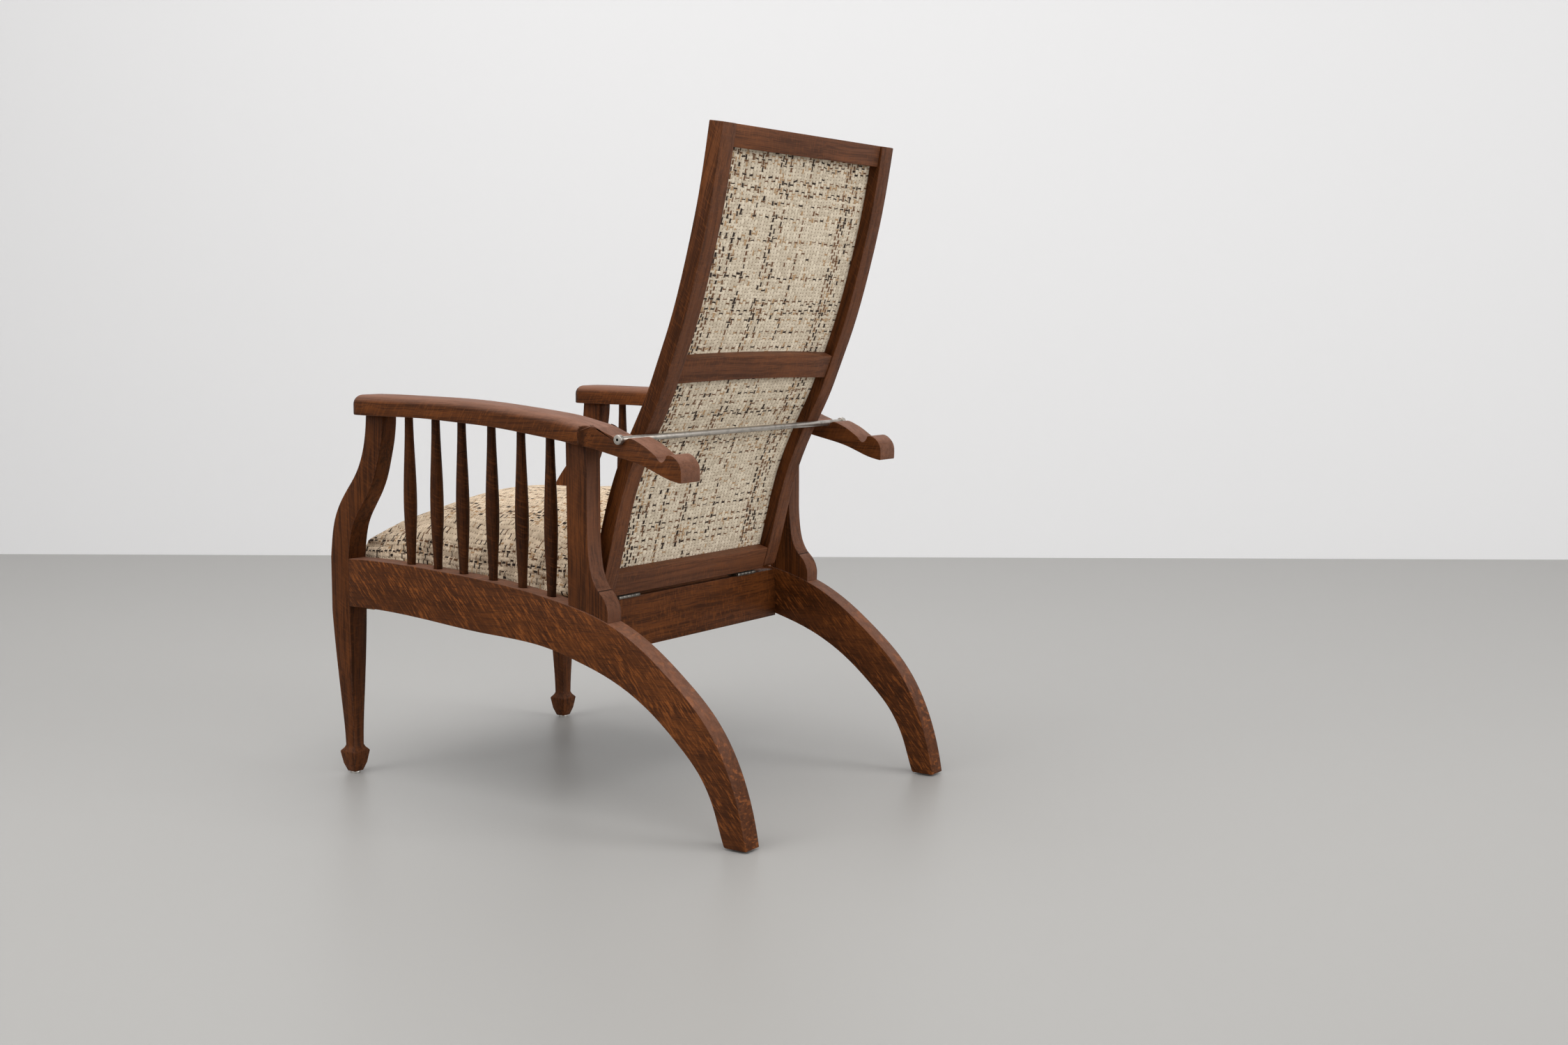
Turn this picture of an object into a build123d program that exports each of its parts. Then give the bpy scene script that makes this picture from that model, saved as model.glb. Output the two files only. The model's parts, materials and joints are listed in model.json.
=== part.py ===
from build123d import *
import math
import os

os.makedirs("parts", exist_ok=True)

# Every length is in millimetres. X runs across the seat, the front faces -Y, the floor is at zero height.
# Every left piece is on the sitter's left, which is +X.

# Clearances between pieces
GLUE_GAP = 0.05
SOFT_GAP = 0.3

# Arched boards, each one side rail and rear leg in one
BOARD_OUTER = 294.4
BOARD_THICK = 34.4
BOARD_INNER = BOARD_OUTER - BOARD_THICK
FOOT_HEIGHT = 3.0
BOARD_FRONT = -386.8
BOARD_TOP = [
    (BOARD_FRONT, 373.0), (-287.0, 373.3), (-159.0, 367.2), (-51.7, 358.8), (95.4, 336.6), (178.4, 313.0),
    (242.9, 278.4), (293.4, 240.6), (340.2, 199.1), (371.6, 160.3), (405.5, 93.0), (424.5, 26.0),
    (428.6, FOOT_HEIGHT),
]
BOARD_UNDER = [
    (388.6, FOOT_HEIGHT), (378.5, 32.2), (368.9, 60.3), (340.0, 110.4), (305.7, 145.4), (267.9, 177.6),
    (216.7, 211.1), (164.6, 234.6), (111.4, 251.2), (62.2, 263.7), (-98.8, 276.9), (-188.1, 284.3),
    (-295.7, 291.6), (BOARD_FRONT, 292.0),
]
BOARD_NOSE = 5.0

# Front legs, square, set back above the seat and tapered to a spade foot
LEG_STRAIGHT_LOW = 282.0
LEG_STRAIGHT_HIGH = 374.0
LEG_FRONT = -428.7
LEG_FRONT_EDGE = [
    (LEG_FRONT, LEG_STRAIGHT_HIGH), (-424.5, 408.0), (-417.0, 439.4), (-405.0, 464.1), (-387.0, 489.1),
    (-367.4, 513.9), (-354.0, 538.3), (-345.8, 562.2), (-341.0, 586.0),
]
LEG_REAR_EDGE = [
    (BOARD_FRONT, LEG_STRAIGHT_HIGH), (-381.5, 408.0), (-371.5, 436.5), (-357.5, 458.0),
    (-335.5, 488.5), (-321.2, 516.2), (-313.2, 540.1), (-306.5, 563.8), (-301.9, 587.4),
]
LEG_TOP_FRONT = -338.0
LEG_TOP_REAR = -299.5
LEG_OVERLONG = 30.0
FOOT_CENTRE_Y = -404.8
FOOT_SETBACK = 22.7
FOOT_CENTRE_X = BOARD_OUTER - FOOT_SETBACK
LEG_TAPER = [(240.0, 38.2), (195.0, 34.5), (146.0, 29.7), (105.0, 25.4), (65.0, 22.2), (49.0, 21.6)]
LEG_SPADE = [(44.5, 25.5), (38.5, 35.8), (17.0, 28.4), (FOOT_HEIGHT, 18.4)]
LEG_WIDE = 40.0
LEG_INNER = BOARD_OUTER - LEG_WIDE
# Each row: how far the inner face moves outwards, and its height
LEG_INNER_ROWS = [(0.0, LEG_STRAIGHT_HIGH), (2.1, 430.0), (6.1, 500.0), (7.8, 560.0)]
LEG_INNER_EDGE = [(LEG_INNER + shift, z) for shift, z in LEG_INNER_ROWS]
GLIDE_RADIUS = 8.5
GLIDE_NAIL_RADIUS = 1.2
GLIDE_NAIL_LENGTH = 14.0

# Rear arm posts with a glued toe
POST_SETBACK = 1.4
POST_WIDE = 32.3
POST_OUTER = BOARD_OUTER - POST_SETBACK
POST_INNER = POST_OUTER - POST_WIDE
POST_FRONT_TOP = 90.7
POST_FRONT_FOOT = 94.4
POST_REAR = 133.0
POST_FLARE = [(POST_REAR, 448.0), (135.8, 409.4), (142.6, 380.9), (154.2, 362.8)]
POST_FLARE_START = 462.0
TOE_SPLIT = 154.2
TOE_EDGE = [(154.2, 362.8), (164.6, 351.4), (172.0, 332.1), (171.6, 314.0)]

# Arms
ARM_OVERHANG = 22.1
ARM_OUTER = BOARD_OUTER + ARM_OVERHANG
ARM_WIDE = 70.9
ARM_INNER = ARM_OUTER - ARM_WIDE
SHOULDER_OUTER = 10.7
SHOULDER_INNER = 13.1
TAIL_OUTER = ARM_OUTER - SHOULDER_OUTER
TAIL_INNER = ARM_INNER + SHOULDER_INNER
ARM_FRONT = -354.6
ARM_TOP = [
    (ARM_FRONT, 649.5), (-295.7, 650.0), (-231.3, 649.1), (-152.0, 647.7), (-76.0, 644.1), (-16.0, 639.3),
    (61.6, 631.8), (105.0, 625.8), (130.2, 620.6), (153.2, 615.7), (164.5, 612.4), (181.8, 605.6),
    (191.9, 602.0), (197.4, 599.4),
]
ARM_UNDER = [
    (320.6, 536.8), (289.4, 544.2), (254.5, 557.8), (212.1, 568.8), (158.1, 580.5), (115.0, 589.0),
    (55.5, 596.8), (-3.3, 603.9), (-63.9, 609.3), (-126.4, 612.7), (-180.7, 615.6), (-260.7, 616.4),
    (ARM_FRONT, 617.3),
]
ARM_CORNER = 20.0
ARM_ROUND = 16.0
SHOULDER_START = 135.0
SHOULDER_LONG = 29.5
SHOULDER_END = SHOULDER_START + SHOULDER_LONG
TAIL_START = SHOULDER_END - SHOULDER_LONG / 3
FRONT_NOTCH_EDGE = [(197.4, 599.4), (202.0, 593.8), (208.4, 591.9), (214.9, 592.6), (218.1, 596.2)]
HUMP = [
    (218.1, 596.2), (221.3, 598.6), (225.0, 599.5), (229.6, 599.1), (240.2, 595.2), (252.6, 589.4),
    (264.6, 582.0), (274.7, 575.3),
]
REAR_NOTCH_EDGE = [(274.7, 575.3), (278.8, 569.9), (284.8, 567.0), (290.3, 570.4), (293.1, 576.4)]
KNOB = [
    (293.1, 576.4), (299.5, 577.8), (307.5, 575.0), (313.3, 570.4), (319.8, 560.3), (321.1, 552.0),
    (320.6, 536.8),
]

# Prop rod and the place of its middle in the front notch
ROD_RADIUS = 4.75
ROD_STUB_RADIUS = 3.0
HEAD_RADIUS = 7.4
HEAD_LENGTH = 8.3
HEAD_HOLE = 1.7
HEAD_HOLE_DEPTH = 3.0
HEAD_EDGE = 0.6
HEAD_INNER = TAIL_OUTER + 0.4
ROD_PLACE = (209.6, 597.0)

# Spindles
SPINDLE_X = BOARD_OUTER - BOARD_THICK / 2
SPINDLE_Y = [-255.9, -195.9, -138.9, -74.8, -12.8, 47.0]
SPINDLE_TOP_RADIUS = 6.7
SPINDLE_FULL_RADIUS = 10.6
SPINDLE_FOOT_RADIUS = 7.0
SPINDLE_FULL_SHARE = 0.36
TENON_DEPTH = 12.0

# Seat rails
FRONT_RAIL_FACE = -424.0
FRONT_RAIL_THICK = 26.0
FRONT_RAIL_TOP = 371.0
FRONT_RAIL_UNDER = 290.0
CROSSBAR_REAR = 105.0
CROSSBAR_THICK = 32.0
CROSSBAR_TOP = 333.5
CROSSBAR_UNDER = 249.8
CROSSBAR_FRONT = CROSSBAR_REAR - CROSSBAR_THICK
BLOCK_SIDE = 30.0
BLOCK_HEIGHT = 17.0
BLOCK_TOP = 299.5

# Seat stack: cleats, slip frame, webbing, springs, deck and cushion
CLEAT_SIDE = 18.0
CLEAT_TOP = 318.0
SLIP_THICK = 20.0
SLIP_WIDE = 46.0
SLIP_SIDE_GAP = 1.0
SLIP_HALF = BOARD_INNER - SLIP_SIDE_GAP
SLIP_FRONT = -384.0
SLIP_REAR = 71.0
WEB_THICK = 1.2
WEB_WIDE = 50.0
WEB_LONG_SHARES = [-0.58, -0.193, 0.193, 0.58]
WEB_LONG_X = [share * SLIP_HALF for share in WEB_LONG_SHARES]
WEB_CROSS_Y = [-320.0, -220.0, -120.0, -20.0]
SPRING_RADIUS = 30.0
SPRING_SHARES = [-0.5, 0.0, 0.5]
SPRING_X = [share * SLIP_HALF for share in SPRING_SHARES]
SPRING_Y = [-300.0, -170.0, -40.0]
SPRING_HEIGHT = 51.6
DECK_INSET = 63.0
DECK_HALF = SLIP_HALF - DECK_INSET
DECK_FRONT = -358.0
DECK_REAR = 12.0
SLIP_TOP = CLEAT_TOP + SLIP_THICK
WEB_TOP = SLIP_TOP + 2 * WEB_THICK
DECK_HEIGHT = WEB_TOP + SPRING_HEIGHT
CUSHION_BASE = WEB_TOP + SOFT_GAP
CUSHION_TUCK = 7.0
# Each row: place along the seat, side clearance, height of the side roll, height of the crown
CUSHION_ROWS = [
    (-423.0, 9.5, 394.0, 404.0), (-404.0, 8.4, 410.0, 430.0), (-380.0, 7.6, 415.0, 441.0),
    (-350.0, 5.4, 418.0, 451.0), (-200.0, 4.0, 419.0, 480.0), (-90.0, 4.0, 418.0, 486.0),
    (0.0, 4.0, 413.0, 480.0), (48.0, 4.6, 402.0, 462.0), (66.0, 6.0, 384.0, 436.0),
]
COVER_THICK = 1.0
DUST_SIDE_GAP = 2.0
DUST_HALF = BOARD_INNER - CLEAT_SIDE - DUST_SIDE_GAP

# Back frame: rear face of its curved stiles, from the hinge up
BACK_CURVE = [
    (113.0, 339.5), (127.5, 386.4), (162.4, 510.6), (205.7, 603.5), (231.9, 654.0), (241.6, 677.0),
    (276.0, 761.8), (303.7, 848.2), (318.8, 903.4), (333.6, 966.0), (339.5, 996.4), (346.9, 1035.9),
    (350.5, 1058.0),
]
BACK_SIDE_GAP = 18.7
STILE_OUTER = POST_INNER - BACK_SIDE_GAP
STILE_WIDE = 34.5
STILE_INNER = STILE_OUTER - STILE_WIDE
STILE_DEPTH = 25.5
STILE_NOSE = 11.0
STILE_CORNER = 6.5
BACK_FOOT = 339.5
BACK_TOP = BACK_CURVE[-1][1]
TOP_RAIL_DROP = 17.0
# Each rail: height of its middle on the back curve, tall, recess of its rear face, upward bow
TOP_RAIL = (BACK_TOP - TOP_RAIL_DROP, 34.0, 4.5, 0.0)
MIDDLE_RAIL = (694.6, 40.0, 2.0, 3.6)
BOTTOM_RAIL = (359.0, 38.6, 1.0, 0.0)
BACK_CLOTH_DEPTH = 19.3
BACK_CLOTH_THICK = 3.0
BACK_WEB_SHARES = [0.112, 0.2095, 0.307, 0.404, 0.585, 0.683, 0.78, 0.8775]
BACK_WEB_HEIGHTS = [BACK_FOOT + share * (BACK_TOP - BACK_FOOT) for share in BACK_WEB_SHARES]
BACK_WEB_TALL = 50.0
PAD_SIDE_GAP = 1.0
PAD_HALF = STILE_INNER - PAD_SIDE_GAP
PAD_TUCK = 10.0
PAD_FOOT_GAP = 16.5
PAD_TOP_GAP = 12.0
PAD_FOOT = BACK_FOOT + PAD_FOOT_GAP
PAD_TOP = BACK_TOP - PAD_TOP_GAP
# Share of the way up the pad of each row, and its thickness at the side and at the crown
PAD_HEIGHT_SHARES = [0.0, 0.0406, 0.1507, 0.3826, 0.6435, 0.8609, 0.9652, 1.0]
PAD_THICKNESSES = [
    (5.0, 8.0), (12.0, 18.0), (16.0, 30.0), (18.0, 36.0), (18.0, 38.0), (17.0, 34.0), (12.0, 20.0),
    (5.0, 8.0),
]

# Butt hinges between the crossbar and the back's bottom rail
HINGE_Y = 108.0
HINGE_Z = 336.5
HINGE_INSET = 45.0
HINGE_CENTRE_X = STILE_INNER - HINGE_INSET
HINGE_LENGTH = 52.5
HINGE_LEAF = 1.6
HINGE_LEAF_DEEP = 20.0
KNUCKLE_RADIUS = 3.0
PIN_RADIUS = 1.3
PIN_GAP = 0.05
KNUCKLES = 5
KNUCKLE_GAP = 0.15
SCREW_HEAD_RADIUS = 2.9
SCREW_SHANK_RADIUS = 1.4
SCREW_LENGTH = 15.0
SCREW_PITCH = 18.0
SCREW_ROW_Y = 95.0

# Dowels
DOWEL_RADIUS = 4.5
DOWEL_LENGTH = 36.0
DOWEL_RISE = 22.0
BACK_DOWEL_RADIUS = 3.5
BACK_DOWEL_LENGTH = 28.0
BACK_DOWEL_RISE = 9.0
BACK_DOWEL_DEPTH = 11.0

FAR = 600.0
ON_BASE = (Align.CENTER, Align.CENTER, Align.MIN)


# Name a finished piece and write its file.
def save(piece, label):
    piece.part.label = label
    export_step(piece.part, f"parts/{label}.step")


# Straight-line height of a list of (place, height) points at one place.
def height_at(points, place):
    ordered = sorted(points)
    for (a, low), (b, high) in zip(ordered[:-1], ordered[1:]):
        if a <= place <= b:
            return low + (high - low) * (place - a) / (b - a)
    return ordered[-1][1]


back_line = Spline(*BACK_CURVE)


# Share along the back curve where it reaches a height.
def back_share(height):
    low, high = 0.0, 1.0
    for _ in range(40):
        middle = (low + high) / 2
        if (back_line @ middle).Y < height:
            low = middle
        else:
            high = middle
    return (low + high) / 2


# Point in front of the back curve, square to it, as (y, z).
def back_point(height, depth):
    share = back_share(height)
    spot = back_line @ share
    along = back_line % share
    return (spot.X - along.Y * depth, spot.Y + along.X * depth)


# Plane on the back at a height and depth: x across, y up the back, z out to the rear.
def back_face(height, depth):
    along = back_line % back_share(height)
    y, z = back_point(height, depth)
    return Plane(origin=(0, y, z), x_dir=(-1, 0, 0), z_dir=(0, along.Y, -along.X))


# Plane square to the back curve: x across, y towards the sitter.
def back_cut(height, depth):
    along = back_line % back_share(height)
    y, z = back_point(height, depth)
    return Plane(origin=(0, y, z), x_dir=(-1, 0, 0), z_dir=(0, along.X, along.Y))


# Outline between two depths of the back, from one height to another.
def back_outline(low, high, rear, front, steps):
    heights = [low + (high - low) * i / steps for i in range(steps + 1)]
    return [back_point(h, rear) for h in heights], [back_point(h, front) for h in heights]


# Dowel places shared by the frame pieces: centre and direction.
post_dowel_y = [POST_FRONT_TOP + STILE_WIDE / 3, POST_REAR - STILE_WIDE / 3]
leg_rail_z = [(FRONT_RAIL_TOP + FRONT_RAIL_UNDER) / 2 + rise for rise in (-DOWEL_RISE, DOWEL_RISE)]
crossbar_z = [(CROSSBAR_TOP + CROSSBAR_UNDER) / 2 + rise for rise in (-DOWEL_RISE, DOWEL_RISE)]
crossbar_y = (CROSSBAR_FRONT + CROSSBAR_REAR) / 2
front_rail_y = FRONT_RAIL_FACE + FRONT_RAIL_THICK / 2
post_x = (POST_OUTER + POST_INNER) / 2
board_x = (BOARD_OUTER + BOARD_INNER) / 2
leg_top_x = (BOARD_OUTER + LEG_INNER_EDGE[-1][0]) / 2
leg_top_y = (LEG_TOP_FRONT + LEG_TOP_REAR) / 2
leg_top_z = height_at(ARM_UNDER, leg_top_y)
leg_above = leg_top_z + LEG_OVERLONG
ACROSS = (1, 0, 0)
ALONG = (0, 1, 0)
UP = (0, 0, 1)
frame_dowels = []
for z in leg_rail_z:
    frame_dowels.append(((board_x, BOARD_FRONT, z), ALONG))
    frame_dowels.append(((LEG_INNER, front_rail_y, z), ACROSS))
for z in crossbar_z:
    frame_dowels.append(((BOARD_INNER, crossbar_y, z), ACROSS))
frame_dowels.append(((leg_top_x, leg_top_y, leg_top_z), UP))
for y in post_dowel_y:
    frame_dowels.append(((post_x, y, height_at(ARM_UNDER, y)), UP))
    frame_dowels.append(((post_x, y, height_at(BOARD_TOP, y)), UP))


# Add or cut the dowel set on the left side, with a gap all round when it is cut.
def dowels(gap, mode):
    for centre, direction in frame_dowels:
        with Locations(Plane(origin=centre, z_dir=direction)):
            Cylinder(DOWEL_RADIUS + gap, DOWEL_LENGTH + 2 * gap, mode=mode)


# Solid of a spindle at one place, long enough to enter the board and the arm.
def spindle(place, gap):
    low = height_at(BOARD_TOP, place) - TENON_DEPTH - gap
    high = height_at(ARM_UNDER, place) + TENON_DEPTH + gap
    full = low + (high - low) * SPINDLE_FULL_SHARE
    top_radius = SPINDLE_TOP_RADIUS + gap
    foot_radius = SPINDLE_FOOT_RADIUS + gap
    with BuildPart() as turned:
        with BuildSketch(Plane(origin=(SPINDLE_X, place, 0), x_dir=ACROSS, z_dir=(0, -1, 0))):
            with BuildLine():
                Polyline((foot_radius, low), (0, low), (0, high), (top_radius, high))
                Spline((top_radius, high), (top_radius, high - TENON_DEPTH),
                       (SPINDLE_FULL_RADIUS + gap, full),
                       (foot_radius, low + TENON_DEPTH), (foot_radius, low))
            make_face()
        revolve(axis=Axis((SPINDLE_X, place, 0), UP))
    return turned.part


spindles = [spindle(place, 0) for place in SPINDLE_Y]
spindle_holes = [spindle(place, GLUE_GAP) for place in SPINDLE_Y]

# Side views shared by several pieces: all above the arm's underside, all under the board's top
with BuildSketch(Plane.YZ) as above_arm:
    with BuildLine():
        Spline(*ARM_UNDER)
        Polyline(ARM_UNDER[-1], (-FAR, 2 * FAR), (FAR, 2 * FAR), ARM_UNDER[0])
    make_face()
with BuildSketch(Plane.YZ) as below_board:
    with BuildLine():
        Spline(*BOARD_TOP)
        Polyline(BOARD_TOP[-1], (BOARD_FRONT, 0), BOARD_TOP[0])
    make_face()

# Arched boards
with BuildPart() as board_left:
    with BuildSketch(Plane.YZ.offset(BOARD_INNER)) as outline:
        with BuildLine():
            Spline(*BOARD_TOP)
            Line(BOARD_TOP[-1], BOARD_UNDER[0])
            Spline(*BOARD_UNDER)
            Line(BOARD_UNDER[-1], BOARD_TOP[0])
        make_face()
        nose = outline.vertices().sort_by_distance((BOARD_INNER, *BOARD_UNDER[-1]))[0]
        fillet(nose, BOARD_NOSE)
    extrude(amount=BOARD_THICK)
    dowels(GLUE_GAP, Mode.SUBTRACT)
    add(spindle_holes, mode=Mode.SUBTRACT)
    with Locations((board_x, (BOARD_TOP[-1][0] + BOARD_UNDER[0][0]) / 2, FOOT_HEIGHT)):
        Cylinder(GLIDE_NAIL_RADIUS + GLUE_GAP, 2 * GLIDE_NAIL_LENGTH + 2 * GLUE_GAP, mode=Mode.SUBTRACT)
with BuildPart() as board_right:
    mirror(board_left.part, about=Plane.YZ)
save(board_left, "arched_board_left")
save(board_right, "arched_board_right")


# Both edges of the tapered lower leg seen from one side, from under the rail to the sole.
def lower_edges(centre_top, centre_foot):
    left, right = [], []
    for height, width in LEG_TAPER + LEG_SPADE:
        share = max(0.0, (height - LEG_SPADE[0][0]) / (LEG_STRAIGHT_LOW - LEG_SPADE[0][0]))
        centre = centre_foot + (centre_top - centre_foot) * share
        left.append((centre - width / 2, height))
        right.append((centre + width / 2, height))
    return left, right


# Front legs: the side view and the front view, crossed
taper = len(LEG_TAPER)
front_low, rear_low = lower_edges((LEG_FRONT + BOARD_FRONT) / 2, FOOT_CENTRE_Y)
inner_low, outer_low = lower_edges((LEG_INNER + BOARD_OUTER) / 2, FOOT_CENTRE_X)
with BuildPart() as leg_left:
    with BuildSketch(Plane.YZ):
        with BuildLine():
            Spline(*reversed(front_low[:taper]), (LEG_FRONT, LEG_STRAIGHT_LOW))
            Line((LEG_FRONT, LEG_STRAIGHT_LOW), LEG_FRONT_EDGE[0])
            Spline(*LEG_FRONT_EDGE, (LEG_TOP_FRONT, leg_top_z))
            Polyline((LEG_TOP_FRONT, leg_top_z), (LEG_TOP_FRONT, leg_above), (LEG_TOP_REAR, leg_above),
                     (LEG_TOP_REAR, leg_top_z))
            Spline((LEG_TOP_REAR, leg_top_z), *reversed(LEG_REAR_EDGE))
            Line(LEG_REAR_EDGE[0], (BOARD_FRONT, LEG_STRAIGHT_LOW))
            Spline((BOARD_FRONT, LEG_STRAIGHT_LOW), *rear_low[:taper])
            Polyline(*rear_low[taper - 1:], *reversed(front_low[taper - 1:]))
        make_face()
    extrude(amount=FAR)
    with BuildSketch(Plane.XZ):
        with BuildLine():
            Spline(*reversed(inner_low[:taper]), (LEG_INNER, LEG_STRAIGHT_LOW))
            Line((LEG_INNER, LEG_STRAIGHT_LOW), LEG_INNER_EDGE[0])
            Spline(*LEG_INNER_EDGE)
            Polyline(LEG_INNER_EDGE[-1], (LEG_INNER_EDGE[-1][0], leg_above), (BOARD_OUTER, leg_above),
                     (BOARD_OUTER, LEG_STRAIGHT_LOW))
            Spline((BOARD_OUTER, LEG_STRAIGHT_LOW), *outer_low[:taper])
            Polyline(*outer_low[taper - 1:], *reversed(inner_low[taper - 1:]))
        make_face()
    extrude(amount=FAR, mode=Mode.INTERSECT)
    extrude(above_arm.sketch, amount=FAR, mode=Mode.SUBTRACT)
    dowels(GLUE_GAP, Mode.SUBTRACT)
    with Locations((FOOT_CENTRE_X, FOOT_CENTRE_Y, FOOT_HEIGHT)):
        Cylinder(GLIDE_NAIL_RADIUS + GLUE_GAP, 2 * GLIDE_NAIL_LENGTH + 2 * GLUE_GAP, mode=Mode.SUBTRACT)
with BuildPart() as leg_right:
    mirror(leg_left.part, about=Plane.YZ)
save(leg_left, "front_leg_left")
save(leg_right, "front_leg_right")


# Rear posts
with BuildPart() as post_left:
    with BuildSketch(Plane.YZ.offset(POST_INNER)):
        with BuildLine():
            Polyline((TOE_SPLIT, TOE_EDGE[0][1]), (TOE_SPLIT, CROSSBAR_UNDER),
                     (POST_FRONT_FOOT, CROSSBAR_UNDER),
                     (POST_FRONT_TOP, leg_above), (POST_REAR, leg_above), (POST_REAR, POST_FLARE_START))
            Spline((POST_REAR, POST_FLARE_START), *POST_FLARE, tangents=((0, -1), (1, -1)))
        make_face()
    extrude(amount=POST_OUTER - POST_INNER)
    extrude(above_arm.sketch, amount=FAR, mode=Mode.SUBTRACT)
    extrude(below_board.sketch, amount=FAR, mode=Mode.SUBTRACT)
    dowels(GLUE_GAP, Mode.SUBTRACT)
with BuildPart() as post_right:
    mirror(post_left.part, about=Plane.YZ)
save(post_left, "rear_post_left")
save(post_right, "rear_post_right")

with BuildPart() as toe_left:
    with BuildSketch(Plane.YZ.offset(POST_INNER)):
        with BuildLine():
            Spline(*TOE_EDGE, tangents=((1, -1), (0, -1)))
            Polyline(TOE_EDGE[-1], (TOE_EDGE[-1][0], CROSSBAR_UNDER), (TOE_SPLIT, CROSSBAR_UNDER),
                     TOE_EDGE[0])
        make_face()
    extrude(amount=POST_OUTER - POST_INNER)
    extrude(above_arm.sketch, amount=FAR, mode=Mode.SUBTRACT)
    extrude(below_board.sketch, amount=FAR, mode=Mode.SUBTRACT)
with BuildPart() as toe_right:
    mirror(toe_left.part, about=Plane.YZ)
save(toe_left, "post_toe_left")
save(toe_right, "post_toe_right")


# Side outline of the arm, with both rod notches, the hump between them and the knob
with BuildSketch(Plane.YZ.offset(ARM_INNER)) as arm_side:
    with BuildLine():
        Spline(*ARM_TOP)
        Spline(*FRONT_NOTCH_EDGE)
        Spline(*HUMP)
        Spline(*REAR_NOTCH_EDGE)
        Spline(*KNOB)
        Spline(*ARM_UNDER)
        Line(ARM_UNDER[-1], ARM_TOP[0])
    make_face()

# Arms: a wide rounded front, scooped shoulders and a narrower notched tail
arm_middle = (ARM_OUTER + ARM_INNER) / 2
with BuildPart() as arm_tail:
    extrude(arm_side.sketch, amount=ARM_WIDE)
    with BuildSketch(Plane.XY):
        with Locations(((TAIL_OUTER + TAIL_INNER) / 2, TAIL_START)):
            Rectangle(TAIL_OUTER - TAIL_INNER, FAR, align=(Align.CENTER, Align.MIN))
    extrude(amount=2 * FAR, mode=Mode.INTERSECT)
with BuildPart() as arm_left:
    extrude(arm_side.sketch, amount=ARM_WIDE)
    with BuildSketch(Plane.XY) as arm_plan:
        with Locations((arm_middle, (ARM_FRONT + SHOULDER_END) / 2)):
            Rectangle(ARM_WIDE, SHOULDER_END - ARM_FRONT)
        fillet(arm_plan.vertices().sort_by(Axis.Y)[:2], ARM_CORNER)
    extrude(amount=2 * FAR, mode=Mode.INTERSECT)
    crown = arm_left.faces().sort_by(Axis.Z)[-1]
    fillet(crown.edges().filter_by(lambda e: e.center().Y < SHOULDER_START), ARM_ROUND)
    with BuildSketch(Plane.XY):
        with Locations((ARM_OUTER, SHOULDER_END)):
            Ellipse(ARM_OUTER - TAIL_OUTER, SHOULDER_END - SHOULDER_START)
        with Locations((ARM_INNER, SHOULDER_END)):
            Ellipse(TAIL_INNER - ARM_INNER, SHOULDER_END - SHOULDER_START)
    extrude(amount=2 * FAR, mode=Mode.SUBTRACT)
    add(arm_tail.part)
    dowels(GLUE_GAP, Mode.SUBTRACT)
    add(spindle_holes, mode=Mode.SUBTRACT)
with BuildPart() as arm_right:
    mirror(arm_left.part, about=Plane.YZ)
save(arm_left, "arm_left")
save(arm_right, "arm_right")

# Spindles, six to a side
for number, turned in enumerate(spindles, start=1):
    with BuildPart() as spindle_left:
        add(turned)
    with BuildPart() as spindle_right:
        mirror(turned, about=Plane.YZ)
    save(spindle_left, f"spindle_left_{number}")
    save(spindle_right, f"spindle_right_{number}")

# Front seat rail
with BuildPart() as front_rail:
    with Locations((0, front_rail_y, (FRONT_RAIL_TOP + FRONT_RAIL_UNDER) / 2)):
        Box(2 * LEG_INNER, FRONT_RAIL_THICK, FRONT_RAIL_TOP - FRONT_RAIL_UNDER)
    dowels(GLUE_GAP, Mode.SUBTRACT)
    mirror(about=Plane.YZ, mode=Mode.INTERSECT)
save(front_rail, "front_seat_rail")


# Hinge screws: places on one hinge, and a screw pointing down or up from its leaf.
def screw_spots():
    return [(side * HINGE_CENTRE_X + step * SCREW_PITCH / 2, SCREW_ROW_Y + lift)
            for side in (-1, 1) for step, lift in ((-2, 0), (0, 0), (2, 0))]


# Rear crossbar
with BuildPart() as crossbar:
    with Locations((0, crossbar_y, (CROSSBAR_TOP + CROSSBAR_UNDER) / 2)):
        Box(2 * BOARD_INNER, CROSSBAR_THICK, CROSSBAR_TOP - CROSSBAR_UNDER)
    dowels(GLUE_GAP, Mode.SUBTRACT)
    mirror(about=Plane.YZ, mode=Mode.INTERSECT)
    with Locations([(x, y, CROSSBAR_TOP) for x, y in screw_spots()]):
        Cylinder(SCREW_SHANK_RADIUS + GLUE_GAP, 2 * (SCREW_LENGTH + GLUE_GAP), mode=Mode.SUBTRACT)
save(crossbar, "rear_crossbar")

# Glue blocks in the four inner corners of the seat frame
with BuildPart() as blocks:
    for side in (-1, 1):
        with BuildSketch(Plane.XY.offset(BLOCK_TOP - BLOCK_HEIGHT)):
            with BuildLine():
                rear = CROSSBAR_FRONT
                Polyline((side * BOARD_INNER, rear), (side * (BOARD_INNER - BLOCK_SIDE), rear),
                         (side * BOARD_INNER, rear - BLOCK_SIDE), close=True)
            make_face()
            with BuildLine():
                front = FRONT_RAIL_FACE + FRONT_RAIL_THICK
                Polyline((side * LEG_INNER, front), (side * (LEG_INNER - BLOCK_SIDE), front),
                         (side * LEG_INNER, front + BLOCK_SIDE), close=True)
            make_face()
        extrude(amount=BLOCK_HEIGHT)
save(blocks, "corner_blocks")

# Dowels of the whole frame, both sides
with BuildPart() as dowel_set:
    dowels(0, Mode.ADD)
    mirror(about=Plane.YZ)
save(dowel_set, "frame_dowels")

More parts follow.
